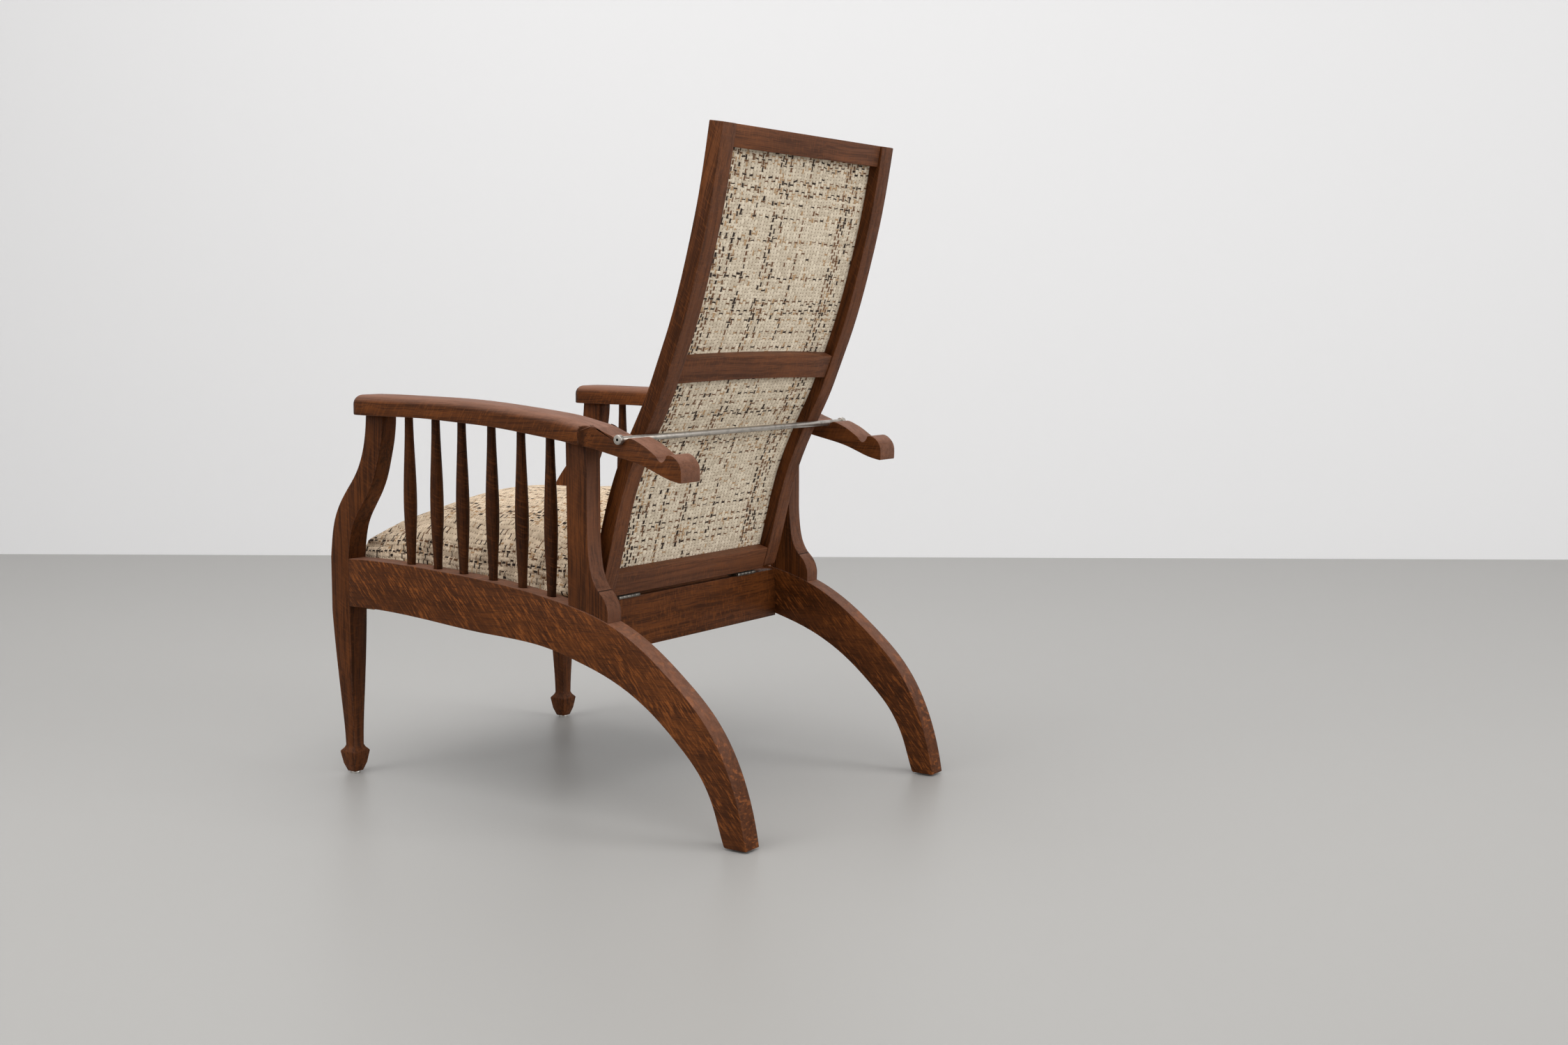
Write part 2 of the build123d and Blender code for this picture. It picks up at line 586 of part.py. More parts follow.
# Floor glides, one disc and nail under each foot
with BuildPart() as glides:
    rear_foot_y = (BOARD_TOP[-1][0] + BOARD_UNDER[0][0]) / 2
    with Locations((FOOT_CENTRE_X, FOOT_CENTRE_Y, 0), (board_x, rear_foot_y, 0)):
        Cylinder(GLIDE_RADIUS, FOOT_HEIGHT, align=ON_BASE)
        Cylinder(GLIDE_NAIL_RADIUS, FOOT_HEIGHT + GLIDE_NAIL_LENGTH, align=ON_BASE)
    mirror(about=Plane.YZ)
save(glides, "floor_glides")

# Cleats that carry the slip seat
cleat_middle = (SLIP_FRONT + SLIP_REAR) / 2
cleat_long = SLIP_REAR - SLIP_FRONT
with BuildPart() as cleat_left:
    with Locations((BOARD_INNER - CLEAT_SIDE / 2, cleat_middle, CLEAT_TOP - CLEAT_SIDE / 2)):
        Box(CLEAT_SIDE, cleat_long, CLEAT_SIDE)
with BuildPart() as cleat_right:
    mirror(cleat_left.part, about=Plane.YZ)
save(cleat_left, "seat_cleat_left")
save(cleat_right, "seat_cleat_right")

# Slip frame: two long side members and two short cross members
slip_middle_z = CLEAT_TOP + SLIP_THICK / 2
with BuildPart() as slip_left:
    with Locations((SLIP_HALF - SLIP_WIDE / 2, cleat_middle, slip_middle_z)):
        Box(SLIP_WIDE, cleat_long, SLIP_THICK)
with BuildPart() as slip_right:
    mirror(slip_left.part, about=Plane.YZ)
save(slip_left, "slip_frame_left")
save(slip_right, "slip_frame_right")
for label, middle in (("front", SLIP_FRONT + SLIP_WIDE / 2), ("rear", SLIP_REAR - SLIP_WIDE / 2)):
    with BuildPart() as slip_cross:
        with Locations((0, middle, slip_middle_z)):
            Box(2 * (SLIP_HALF - SLIP_WIDE), SLIP_WIDE, SLIP_THICK)
    save(slip_cross, f"slip_frame_{label}")

# Webbing: straps front to back, then straps across on top of them
with BuildPart() as web_long:
    with Locations([(x, cleat_middle, SLIP_TOP + WEB_THICK / 2) for x in WEB_LONG_X]):
        Box(WEB_WIDE, cleat_long, WEB_THICK)
save(web_long, "seat_webbing_long")
with BuildPart() as web_cross:
    with Locations([(0, y, SLIP_TOP + WEB_THICK + WEB_THICK / 2) for y in WEB_CROSS_Y]):
        Box(2 * (SLIP_HALF - CLEAT_SIDE), WEB_WIDE, WEB_THICK)
save(web_cross, "seat_webbing_cross")

# Pocketed springs and the deck cloth over them
with BuildPart() as springs:
    with Locations([(x, y, WEB_TOP) for x in SPRING_X for y in SPRING_Y]):
        Cylinder(SPRING_RADIUS, SPRING_HEIGHT, align=ON_BASE)
save(springs, "seat_springs")
with BuildPart() as deck:
    with Locations((0, (DECK_FRONT + DECK_REAR) / 2, DECK_HEIGHT + COVER_THICK / 2)):
        Box(2 * DECK_HALF, DECK_REAR - DECK_FRONT, COVER_THICK)
save(deck, "seat_deck_cloth")

# Dust cloth stapled under the slip frame, between the cleats
with BuildPart() as dust:
    with Locations((0, cleat_middle, CLEAT_TOP - COVER_THICK / 2)):
        Box(2 * DUST_HALF, cleat_long, COVER_THICK)
save(dust, "dust_cloth")

# Seat cushion: crowned rows from front to back, hollow over the springs
with BuildPart() as cushion:
    for place, side_gap, side_high, crown_high in CUSHION_ROWS:
        with BuildSketch(Plane(origin=(0, place, 0), x_dir=ACROSS, z_dir=(0, -1, 0))):
            with BuildLine():
                half = BOARD_INNER - side_gap
                foot = half - CUSHION_TUCK
                shelf = half - 2 * CUSHION_TUCK
                waist = (CUSHION_BASE + side_high) / 2
                Line((-foot, CUSHION_BASE), (foot, CUSHION_BASE))
                ThreePointArc((foot, CUSHION_BASE), (half, waist), (shelf, side_high))
                ThreePointArc((shelf, side_high), (0, crown_high), (-shelf, side_high))
                ThreePointArc((-shelf, side_high), (-half, waist), (-foot, CUSHION_BASE))
            make_face()
    loft()
    spring_middle = (DECK_FRONT + DECK_REAR) / 2
    with Locations((0, spring_middle, (CUSHION_BASE + DECK_HEIGHT + COVER_THICK + SOFT_GAP) / 2)):
        Box(2 * (DECK_HALF + SOFT_GAP), DECK_REAR - DECK_FRONT + 2 * SOFT_GAP,
            DECK_HEIGHT + COVER_THICK + SOFT_GAP - CUSHION_BASE, mode=Mode.SUBTRACT)
    with Locations((0, FRONT_RAIL_FACE + FRONT_RAIL_THICK / 2, FRONT_RAIL_TOP / 2)):
        Box(FAR, FRONT_RAIL_THICK + 2 * SOFT_GAP, FRONT_RAIL_TOP + 2 * SOFT_GAP, mode=Mode.SUBTRACT)
save(cushion, "seat_cushion")

# Hinges: fixed leaves on the crossbar, moving leaves under the bottom rail, loose pins
leaf_front = HINGE_Y - HINGE_LEAF_DEEP
knuckle_long = HINGE_LENGTH / KNUCKLES
hinge_places = (-HINGE_CENTRE_X, HINGE_CENTRE_X)


# One set of leaves. Odd knuckles belong to the fixed leaf, even ones to the moving leaf.
def leaves(face, inward, parity):
    for centre in hinge_places:
        with Locations((centre, (leaf_front + HINGE_Y) / 2, face + inward * HINGE_LEAF / 2)):
            Box(HINGE_LENGTH, HINGE_Y - leaf_front, HINGE_LEAF)
        for turn in range(KNUCKLES):
            middle = centre - HINGE_LENGTH / 2 + knuckle_long * (turn + 1 / 2)
            with Locations(Plane(origin=(middle, HINGE_Y, HINGE_Z), z_dir=ACROSS)):
                if turn % 2 == parity:
                    Cylinder(KNUCKLE_RADIUS, knuckle_long)
        for turn in range(KNUCKLES):
            middle = centre - HINGE_LENGTH / 2 + knuckle_long * (turn + 1 / 2)
            with Locations(Plane(origin=(middle, HINGE_Y, HINGE_Z), z_dir=ACROSS)):
                if turn % 2 != parity:
                    Cylinder(KNUCKLE_RADIUS + KNUCKLE_GAP, knuckle_long + 2 * KNUCKLE_GAP, mode=Mode.SUBTRACT)
        with Locations(Plane(origin=(centre, HINGE_Y, HINGE_Z), z_dir=ACROSS)):
            Cylinder(PIN_RADIUS + PIN_GAP, HINGE_LENGTH, mode=Mode.SUBTRACT)
    for x, y in screw_spots():
        with Locations(Plane(origin=(x, y, face + inward * HINGE_LEAF), z_dir=(0, 0, -inward))):
            Cone(SCREW_HEAD_RADIUS + GLUE_GAP, SCREW_SHANK_RADIUS + GLUE_GAP, HINGE_LEAF,
                 align=ON_BASE, mode=Mode.SUBTRACT)


# One set of screws, heads flush with the leaf.
def screws(face, inward):
    for x, y in screw_spots():
        with Locations(Plane(origin=(x, y, face + inward * HINGE_LEAF), z_dir=(0, 0, -inward))):
            Cone(SCREW_HEAD_RADIUS, SCREW_SHANK_RADIUS, HINGE_LEAF, align=ON_BASE)
            Cylinder(SCREW_SHANK_RADIUS, HINGE_LEAF + SCREW_LENGTH, align=ON_BASE)


with BuildPart() as fixed_leaves:
    leaves(CROSSBAR_TOP, 1, 0)
save(fixed_leaves, "hinge_fixed_leaves")
with BuildPart() as moving_leaves:
    leaves(BACK_FOOT, -1, 1)
save(moving_leaves, "hinge_moving_leaves")
with BuildPart() as fixed_screws:
    screws(CROSSBAR_TOP, 1)
save(fixed_screws, "hinge_fixed_screws")
with BuildPart() as moving_screws:
    screws(BACK_FOOT, -1)
save(moving_screws, "hinge_moving_screws")
with BuildPart() as pins:
    for centre in hinge_places:
        with Locations(Plane(origin=(centre, HINGE_Y, HINGE_Z), z_dir=ACROSS)):
            Cylinder(PIN_RADIUS, HINGE_LENGTH)
save(pins, "hinge_pins")


# Back dowels: rail ends into the stiles, two to a joint, on the left side.
def back_dowels(gap, mode):
    for height, tall, rear, bow in (TOP_RAIL, MIDDLE_RAIL, BOTTOM_RAIL):
        for rise in (-BACK_DOWEL_RISE, BACK_DOWEL_RISE):
            spot = back_face(height, BACK_DOWEL_DEPTH).from_local_coords((0, rise, 0))
            with Locations(Plane(origin=(STILE_INNER, spot.Y, spot.Z), z_dir=ACROSS)):
                Cylinder(BACK_DOWEL_RADIUS + gap, BACK_DOWEL_LENGTH + 2 * gap, mode=mode)


# Curved stiles, their top front and outer corners rounded
stile_top = back_point(BACK_TOP, STILE_DEPTH)[1]
with BuildPart() as stile_left:
    with BuildSketch(Plane.YZ.offset(STILE_INNER)) as stile_side:
        rear_edge, front_edge = back_outline(BACK_FOOT, BACK_TOP, 0, STILE_DEPTH, 14)
        with BuildLine():
            Spline(*rear_edge)
            Line(rear_edge[-1], front_edge[-1])
            Spline(*reversed(front_edge))
            Line(front_edge[0], rear_edge[0])
        make_face()
        top_corner = stile_side.vertices().sort_by_distance((STILE_INNER, *front_edge[-1]))[0]
        fillet(top_corner, STILE_NOSE)
    extrude(amount=STILE_WIDE)
    with BuildSketch(Plane.XZ) as stile_rear:
        with Locations(((STILE_INNER + STILE_OUTER) / 2, stile_top)):
            Rectangle(STILE_WIDE, stile_top - BACK_FOOT / 2, align=(Align.CENTER, Align.MAX))
        fillet(stile_rear.vertices().sort_by(Axis.X)[-2:].sort_by(Axis.Z)[-1], STILE_CORNER)
    extrude(amount=FAR, both=True, mode=Mode.INTERSECT)
    back_dowels(GLUE_GAP, Mode.SUBTRACT)
with BuildPart() as stile_right:
    mirror(stile_left.part, about=Plane.YZ)
save(stile_left, "back_stile_left")
save(stile_right, "back_stile_right")


# Solid of a back rail, grown by a gap above and below.
def back_rail(height, tall, rear, bow, gap):
    rise = tall / 2 + gap
    bow = max(bow, GLUE_GAP)
    with BuildPart() as rail:
        with BuildSketch(back_face(height, STILE_DEPTH)):
            with BuildLine():
                ThreePointArc((-STILE_INNER, rise), (0, rise + bow), (STILE_INNER, rise))
                Line((STILE_INNER, rise), (STILE_INNER, -rise))
                ThreePointArc((STILE_INNER, -rise), (0, bow - rise), (-STILE_INNER, -rise))
                Line((-STILE_INNER, -rise), (-STILE_INNER, rise))
            make_face()
        extrude(amount=STILE_DEPTH - rear)
    return rail.part


# Rails of the back, set in from the stiles' rear face, the middle one bowed upwards
for name, sizes in (("top", TOP_RAIL), ("middle", MIDDLE_RAIL), ("bottom", BOTTOM_RAIL)):
    plain_rail = back_rail(*sizes, 0)
    with BuildPart() as rail:
        add(plain_rail)
        back_dowels(GLUE_GAP, Mode.SUBTRACT)
        mirror(about=Plane.YZ, mode=Mode.INTERSECT)
        if name == "bottom":
            with Locations([(x, y, BACK_FOOT) for x, y in screw_spots()]):
                Cylinder(SCREW_SHANK_RADIUS + GLUE_GAP, 2 * (SCREW_LENGTH + GLUE_GAP), mode=Mode.SUBTRACT)
    save(rail, f"back_{name}_rail")

with BuildPart() as back_dowel_set:
    back_dowels(0, Mode.ADD)
    mirror(about=Plane.YZ)
save(back_dowel_set, "back_dowels")


# Curved sheet in front of the back curve, between two heights and two depths.
def back_sheet(low, high, rear, front, half):
    rear_line, front_line = back_outline(low, high, rear, front, math.ceil((high - low) / BACK_WEB_TALL) * 2)
    with BuildPart() as sheet:
        with BuildSketch(Plane.YZ.offset(-half)):
            with BuildLine():
                Spline(*rear_line)
                Line(rear_line[-1], front_line[-1])
                Spline(*reversed(front_line))
                Line(front_line[0], rear_line[0])
            make_face()
        extrude(amount=2 * half)
    return sheet.part


# Outside cloth of the back: two panels between the rails
rail_gaps = [back_rail(*sizes, GLUE_GAP) for sizes in (TOP_RAIL, MIDDLE_RAIL, BOTTOM_RAIL)]
cloth_front = BACK_CLOTH_DEPTH + BACK_CLOTH_THICK
plain_cloth = back_sheet(BOTTOM_RAIL[0], TOP_RAIL[0], BACK_CLOTH_DEPTH, cloth_front, STILE_INNER)
with BuildPart() as back_cloth:
    add(plain_cloth)
    add(rail_gaps, mode=Mode.SUBTRACT)
lower_panel, upper_panel = back_cloth.solids().sort_by(Axis.Z)
with BuildPart() as cloth_lower:
    add(lower_panel)
with BuildPart() as cloth_upper:
    add(upper_panel)
save(cloth_lower, "back_cloth_lower")
save(cloth_upper, "back_cloth_upper")

# Webbing straps behind the pad, flush with the front of the stiles
straps = [back_sheet(height - BACK_WEB_TALL / 2, height + BACK_WEB_TALL / 2, STILE_DEPTH - WEB_THICK,
                     STILE_DEPTH, STILE_INNER) for height in BACK_WEB_HEIGHTS]
with BuildPart() as back_web:
    add(straps)
save(back_web, "back_webbing")

# Back pad: crowned rows up the back, cut to the curve of the frame behind it
frame_side = back_sheet(BACK_FOOT, BACK_TOP, 0, STILE_DEPTH + SOFT_GAP, STILE_OUTER)
with BuildPart() as pad:
    for share, (side_thick, crown_thick) in zip(PAD_HEIGHT_SHARES, PAD_THICKNESSES):
        height = PAD_FOOT + share * (PAD_TOP - PAD_FOOT)
        with BuildSketch(back_cut(height, STILE_DEPTH - SOFT_GAP * 2)):
            with BuildLine():
                shelf = PAD_HALF - PAD_TUCK
                Line((-PAD_HALF, 0), (PAD_HALF, 0))
                ThreePointArc((PAD_HALF, 0), (PAD_HALF - PAD_TUCK / 4, side_thick / 2), (shelf, side_thick))
                ThreePointArc((shelf, side_thick), (0, crown_thick), (-shelf, side_thick))
                ThreePointArc((-shelf, side_thick), (PAD_TUCK / 4 - PAD_HALF, side_thick / 2), (-PAD_HALF, 0))
            make_face()
    loft()
    add(frame_side, mode=Mode.SUBTRACT)
save(pad, "back_pad")

# Prop rod with a head on each end
with BuildPart() as rod:
    with Locations(Plane(origin=(0, *ROD_PLACE), z_dir=ACROSS)):
        Cylinder(ROD_RADIUS, 2 * HEAD_INNER)
        Cylinder(ROD_STUB_RADIUS, 2 * (HEAD_INNER + HEAD_LENGTH - HEAD_HOLE_DEPTH))
save(rod, "prop_rod")
with BuildPart() as head_left:
    with BuildSketch(Plane(origin=(HEAD_INNER, *ROD_PLACE), z_dir=ACROSS)):
        Circle(HEAD_RADIUS)
    extrude(amount=HEAD_LENGTH)
    chamfer(edges().filter_by(GeomType.CIRCLE), HEAD_EDGE)
    with BuildSketch(Plane(origin=(HEAD_INNER, *ROD_PLACE), z_dir=ACROSS)):
        Circle(ROD_STUB_RADIUS + GLUE_GAP)
    extrude(amount=HEAD_LENGTH - HEAD_HOLE_DEPTH + GLUE_GAP, mode=Mode.SUBTRACT)
    with BuildSketch(Plane(origin=(HEAD_INNER, *ROD_PLACE), z_dir=ACROSS)):
        Circle(HEAD_HOLE)
    extrude(amount=HEAD_LENGTH, mode=Mode.SUBTRACT)
with BuildPart() as head_right:
    mirror(head_left.part, about=Plane.YZ)
save(head_left, "rod_head_left")
save(head_right, "rod_head_right")
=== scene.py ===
import json
import math

import bpy
from bpy.props import FloatProperty, FloatVectorProperty, PointerProperty
from bpy.types import Operator, Panel, PropertyGroup
from mathutils import Matrix, Vector
from mathutils.bvhtree import BVHTree


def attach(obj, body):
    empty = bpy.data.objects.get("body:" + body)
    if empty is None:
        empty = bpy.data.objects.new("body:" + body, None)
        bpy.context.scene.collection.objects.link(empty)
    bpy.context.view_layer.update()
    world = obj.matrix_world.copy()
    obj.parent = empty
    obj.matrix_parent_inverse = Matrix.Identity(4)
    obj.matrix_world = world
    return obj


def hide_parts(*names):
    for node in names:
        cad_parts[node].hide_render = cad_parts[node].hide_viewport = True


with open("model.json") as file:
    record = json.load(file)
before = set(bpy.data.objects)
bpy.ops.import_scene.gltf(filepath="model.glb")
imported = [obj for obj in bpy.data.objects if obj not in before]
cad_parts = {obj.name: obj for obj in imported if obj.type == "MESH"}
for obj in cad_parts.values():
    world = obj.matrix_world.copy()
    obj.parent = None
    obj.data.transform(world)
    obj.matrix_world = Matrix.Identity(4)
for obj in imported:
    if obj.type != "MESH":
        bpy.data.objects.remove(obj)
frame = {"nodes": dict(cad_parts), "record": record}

bl_info = {
    "name": "Mission reclining armchair",
    "version": (1, 0, 0),
    "blender": (4, 5, 0),
    "location": "View3D > Sidebar > Armchair",
    "description": "Dresses the packed armchair: dark quartered oak, chunky tweed cushions, dull nickel rod",
    "category": "Object",
}

MM = 0.001

# Where the back turns, seen from the side
_, HINGE_Y, HINGE_Z = next(joint["pos_m"] for joint in frame["record"]["behaviour"]["joints"]
                           if joint["name"] == "back_recline")


class ArmchairSizes(PropertyGroup):
    """Sizes that shape the finish of the pieces"""

    edge_round: FloatProperty(
        name="Edge round", description="How far the worn edges of the oak are eased",
        default=1.3 * MM, min=0, unit="LENGTH", precision=4)
    small_round: FloatProperty(
        name="Small edge round", description="Edge round of the thin metal pieces",
        default=0.3 * MM, min=0, unit="LENGTH", precision=4)
    wear_reach: FloatProperty(
        name="Wear reach", description="How far the rubbed colour reaches in from an edge",
        default=2.6 * MM, min=0, unit="LENGTH", precision=4)
    weave_across: FloatProperty(
        name="Weave across", description="Spacing of the warp bundles of the tweed",
        default=8.7 * MM, min=0.001, unit="LENGTH", precision=4)
    weave_up: FloatProperty(
        name="Weave up", description="Spacing of the weft rows of the tweed",
        default=5.3 * MM, min=0.001, unit="LENGTH", precision=4)
    weave_height: FloatProperty(
        name="Weave height", description="How far the yarn bundles stand up from the cloth",
        default=1.6 * MM, min=0, unit="LENGTH", precision=4)


class ArmchairColours(PropertyGroup):
    """Colours of the pieces, linear"""

    oak_ground: FloatVectorProperty(
        name="Oak ground", description="Main colour of the stained oak",
        subtype="COLOR", size=3, default=(0.104, 0.0315, 0.0086))
    oak_dark: FloatVectorProperty(
        name="Oak dark", description="Dark grain lines of the oak",
        subtype="COLOR", size=3, default=(0.028, 0.0088, 0.0030))
    oak_streak: FloatVectorProperty(
        name="Oak streak", description="Orange-brown rays and figure of the oak",
        subtype="COLOR", size=3, default=(0.290, 0.088, 0.020))
    # Worn edges take this colour, and it is also painted sheen and painted light on faces that look up or to
    # the rear
    oak_rubbed_and_sheen: FloatVectorProperty(
        name="Oak rubbed", description="Worn edges and faded arm tops",
        subtype="COLOR", size=3, default=(0.275, 0.142, 0.098))
    inner_oak: FloatVectorProperty(
        name="Inner wood", description="Unstained wood inside the seat",
        subtype="COLOR", size=3, default=(0.50, 0.34, 0.19))
    yarn_cream: FloatVectorProperty(
        name="Cream yarn", description="Main yarn of the tweed",
        subtype="COLOR", size=3, default=(0.86, 0.71, 0.52))
    yarn_light: FloatVectorProperty(
        name="Light yarn", description="Highlights of the tweed",
        subtype="COLOR", size=3, default=(0.98, 0.86, 0.68))
    seat_cream: FloatVectorProperty(
        name="Seat cream", description="Main yarn of the seat cushion, warmer than the back",
        subtype="COLOR", size=3, default=(0.92, 0.71, 0.49))
    seat_light: FloatVectorProperty(
        name="Seat light", description="Highlights of the seat cushion",
        subtype="COLOR", size=3, default=(1.0, 0.81, 0.60))
    yarn_tan: FloatVectorProperty(
        name="Tan yarn", description="Warm yarn of the tweed",
        subtype="COLOR", size=3, default=(0.43, 0.23, 0.085))
    yarn_brown: FloatVectorProperty(
        name="Brown yarn", description="Brown yarn of the tweed",
        subtype="COLOR", size=3, default=(0.135, 0.056, 0.024))
    yarn_black: FloatVectorProperty(
        name="Black yarn", description="Dark flecks of the tweed",
        subtype="COLOR", size=3, default=(0.022, 0.015, 0.012))
    jute: FloatVectorProperty(
        name="Jute", description="Webbing, spring pockets and deck cloth",
        subtype="COLOR", size=3, default=(0.40, 0.28, 0.15))
    dust_cloth: FloatVectorProperty(
        name="Dust cloth", description="Black cloth under the seat",
        subtype="COLOR", size=3, default=(0.022, 0.022, 0.022))
    nickel: FloatVectorProperty(
        name="Nickel", description="Dull plated rod",
        subtype="COLOR", size=3, default=(0.56, 0.52, 0.47))
    iron: FloatVectorProperty(
        name="Iron", description="Hinges and screws",
        subtype="COLOR", size=3, default=(0.30, 0.28, 0.25))
    floor: FloatVectorProperty(
        name="Floor", description="Pale floor",
        subtype="COLOR", size=3, default=(0.412, 0.405, 0.391))
    wall: FloatVectorProperty(
        name="Wall", description="Pale backdrop",
        subtype="COLOR", size=3, default=(0.89, 0.89, 0.90))


# Selecting and shaping

MERGE_WITHIN = 0.01 * MM
FLAT_WITHIN = math.radians(0.25)
SHARP_FROM = math.radians(32)
EASE_SEGMENTS = 2
EASED_SMOOTH = math.radians(30)
ROUND_SMOOTH = math.radians(35)


def pick(*pieces):
    """Leave only these pieces selected, the first one active."""
    if bpy.context.object and bpy.context.object.mode != "OBJECT":
        bpy.ops.object.mode_set(mode="OBJECT")
    bpy.ops.object.select_all(action="DESELECT")
    for piece in pieces:
        piece.select_set(True)
    bpy.context.view_layer.objects.active = pieces[0]


def edit_all(piece):
    """Open a piece in edit mode with everything selected."""
    pick(piece)
    bpy.ops.object.mode_set(mode="EDIT")
    bpy.ops.mesh.select_all(action="SELECT")


def leave_edit():
    bpy.ops.object.mode_set(mode="OBJECT")


def copy_of(node, name):
    """A merged copy of a CAD node's mesh, as a new piece."""
    piece = bpy.data.objects.new(name, frame["nodes"][node].data.copy())
    bpy.context.scene.collection.objects.link(piece)
    piece.data.materials.clear()
    edit_all(piece)
    bpy.ops.mesh.remove_doubles(threshold=MERGE_WITHIN)
    bpy.ops.mesh.dissolve_limited(angle_limit=FLAT_WITHIN)
    leave_edit()
    return piece


def apply_modifier(piece, modifier):
    pick(piece)
    bpy.ops.object.modifier_apply(modifier=modifier.name)


def smooth_by_angle(piece, angle):
    """Shade a piece smooth, apart from edges sharper than an angle."""
    pick(piece)
    bpy.ops.object.shade_smooth_by_angle(angle=angle)


def ease_edges(piece, width):
    """Round the sharp edges and smooth what lies between them."""
    mesh = piece.data
    before = BVHTree.FromPolygons([point.co.copy() for point in mesh.vertices],
                                  [tuple(face.vertices) for face in mesh.polygons])
    bevel = piece.modifiers.new("ease", "BEVEL")
    bevel.width = width
    bevel.segments = EASE_SEGMENTS
    bevel.limit_method = "ANGLE"
    bevel.angle_limit = SHARP_FROM
    bevel.use_clamp_overlap = False
    bevel.miter_outer = "MITER_ARC"
    apply_modifier(piece, bevel)
    # Where short edges meet, the bevel can throw a point off the piece
    for point in piece.data.vertices:
        nearest, _, _, away = before.find_nearest(point.co)
        if away > width:
            point.co = nearest
    smooth_by_angle(piece, EASED_SMOOTH)


def stands_for(piece, node):
    """Tie a finished piece to the body it belongs to, and hide the CAD node it stands for."""
    bodies = frame["record"]["behaviour"]["bodies"]
    body = next(body for body, members in bodies.items() if node in members)
    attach(piece, body)
    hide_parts(node)


# Building materials

def feed(tree, node, feeds):
    """Fill a node's inputs with values or with other nodes' outputs."""
    for key, value in feeds.items():
        if isinstance(value, bpy.types.NodeSocket):
            tree.links.new(value, node.inputs[key])
        else:
            node.inputs[key].default_value = value


def put(tree, kind, feeds=None, **settings):
    """Add a node, set its fields and fill its inputs."""
    made = tree.nodes.new(kind)
    for field, value in settings.items():
        setattr(made, field, value)
    feed(tree, made, feeds or {})
    return made


def maths(tree, operation, *values, clamp=False):
    made = put(tree, "ShaderNodeMath", dict(enumerate(values)), operation=operation, use_clamp=clamp)
    return made.outputs[0]


def times(tree, first, second, clamp=False):
    return maths(tree, "MULTIPLY", first, second, clamp=clamp)


def plus(tree, first, second):
    return maths(tree, "ADD", first, second)


def minus(tree, first, second, clamp=False):
    return maths(tree, "SUBTRACT", first, second, clamp=clamp)


def size_of(tree, value):
    return maths(tree, "ABSOLUTE", value)


def axes(tree, vector):
    """The X, Y and Z of a vector."""
    return put(tree, "ShaderNodeSeparateXYZ", {0: vector}).outputs


def joined(tree, x, y, z):
    return put(tree, "ShaderNodeCombineXYZ", {0: x, 1: y, 2: z}).outputs[0]


def coordinates(tree, kind):
    return tree.nodes.new("ShaderNodeTexCoord").outputs[kind]


def noise(tree, vector, scale, detail=2.0, roughness=0.5, distortion=0.0):
    return put(tree, "ShaderNodeTexNoise", {"Vector": vector, "Scale": scale, "Detail": detail,
               "Roughness": roughness, "Distortion": distortion}).outputs["Fac"]


def turned(tree, vector, turn=(0, 0, 0), scale=(1, 1, 1)):
    return put(tree, "ShaderNodeMapping", {"Vector": vector, "Rotation": turn, "Scale": scale}).outputs[0]


def stretched(tree, vector, scales, detail=2.0, roughness=0.5, distortion=0.0):
    """Noise with a scale of its own on each axis, in waves a metre."""
    return noise(tree, turned(tree, vector, scale=scales), 1.0, detail, roughness, distortion)


def wavering(tree, vector, scale, detail, reach):
    """A vector pushed about by a slow noise, by a reach in metres."""
    cloud = put(tree, "ShaderNodeTexNoise", {"Vector": vector, "Scale": scale, "Detail": detail})
    push = cloud.outputs["Color"]
    push = put(tree, "ShaderNodeVectorMath", {0: push, 1: (0.5, 0.5, 0.5)}, operation="SUBTRACT").outputs[0]
    push = put(tree, "ShaderNodeVectorMath", {0: push, "Scale": reach}, operation="SCALE").outputs[0]
    return put(tree, "ShaderNodeVectorMath", {0: vector, 1: push}, operation="ADD").outputs[0]


def remap(tree, value, low, high, to_low=0.0, to_high=1.0, smooth=False):
    return put(tree, "ShaderNodeMapRange", {"Value": value, "From Min": low, "From Max": high,
               "To Min": to_low, "To Max": to_high},
               interpolation_type="SMOOTHSTEP" if smooth else "LINEAR").outputs[0]


def near_line(tree, off, full, none):
    """1 up to the distance full from a line, fading to 0 at the distance none."""
    return remap(tree, size_of(tree, off), full, none, 1.0, 0.0, smooth=True)


def mixed(tree, share, first, second):
    """Mix two colours, each given as a colour or as another node's output."""
    tones = [tone if isinstance(tone, bpy.types.NodeSocket) else (*tone[:3], 1.0) for tone in (first, second)]
    return put(tree, "ShaderNodeMix", {0: share, 6: tones[0], 7: tones[1]}, data_type="RGBA").outputs[2]


def shaded(colour, share):
    """A colour made darker, or lighter up to full."""
    return [min(1.0, tone * share) for tone in colour]


def new_material(name):
    """An empty material, its tree and its shader."""
    material = bpy.data.materials.new(name)
    material.use_nodes = True
    return material, material.node_tree, material.node_tree.nodes["Principled BSDF"]


def raise_surface(tree, shader, height, strength, distance):
    """Turn a height pattern into the relief of a material."""
    bump = put(tree, "ShaderNodeBump", {"Height": height, "Strength": strength, "Distance": distance})
    tree.links.new(bump.outputs[0], shader.inputs["Normal"])


def new_group(name, inputs, outputs):
    """An empty shader node group. An input's value is its default, or None for a vector."""
    group = bpy.data.node_groups.new(name, "ShaderNodeTree")
    for label, value in inputs.items():
        kind = "NodeSocketVector" if value is None else "NodeSocketFloat"
        socket = group.interface.new_socket(label, in_out="INPUT", socket_type=kind)
        if value is not None:
            socket.default_value = value
    for label in outputs:
        group.interface.new_socket(label, in_out="OUTPUT", socket_type="NodeSocketFloat")
    return group, group.nodes.new("NodeGroupInput"), group.nodes.new("NodeGroupOutput")


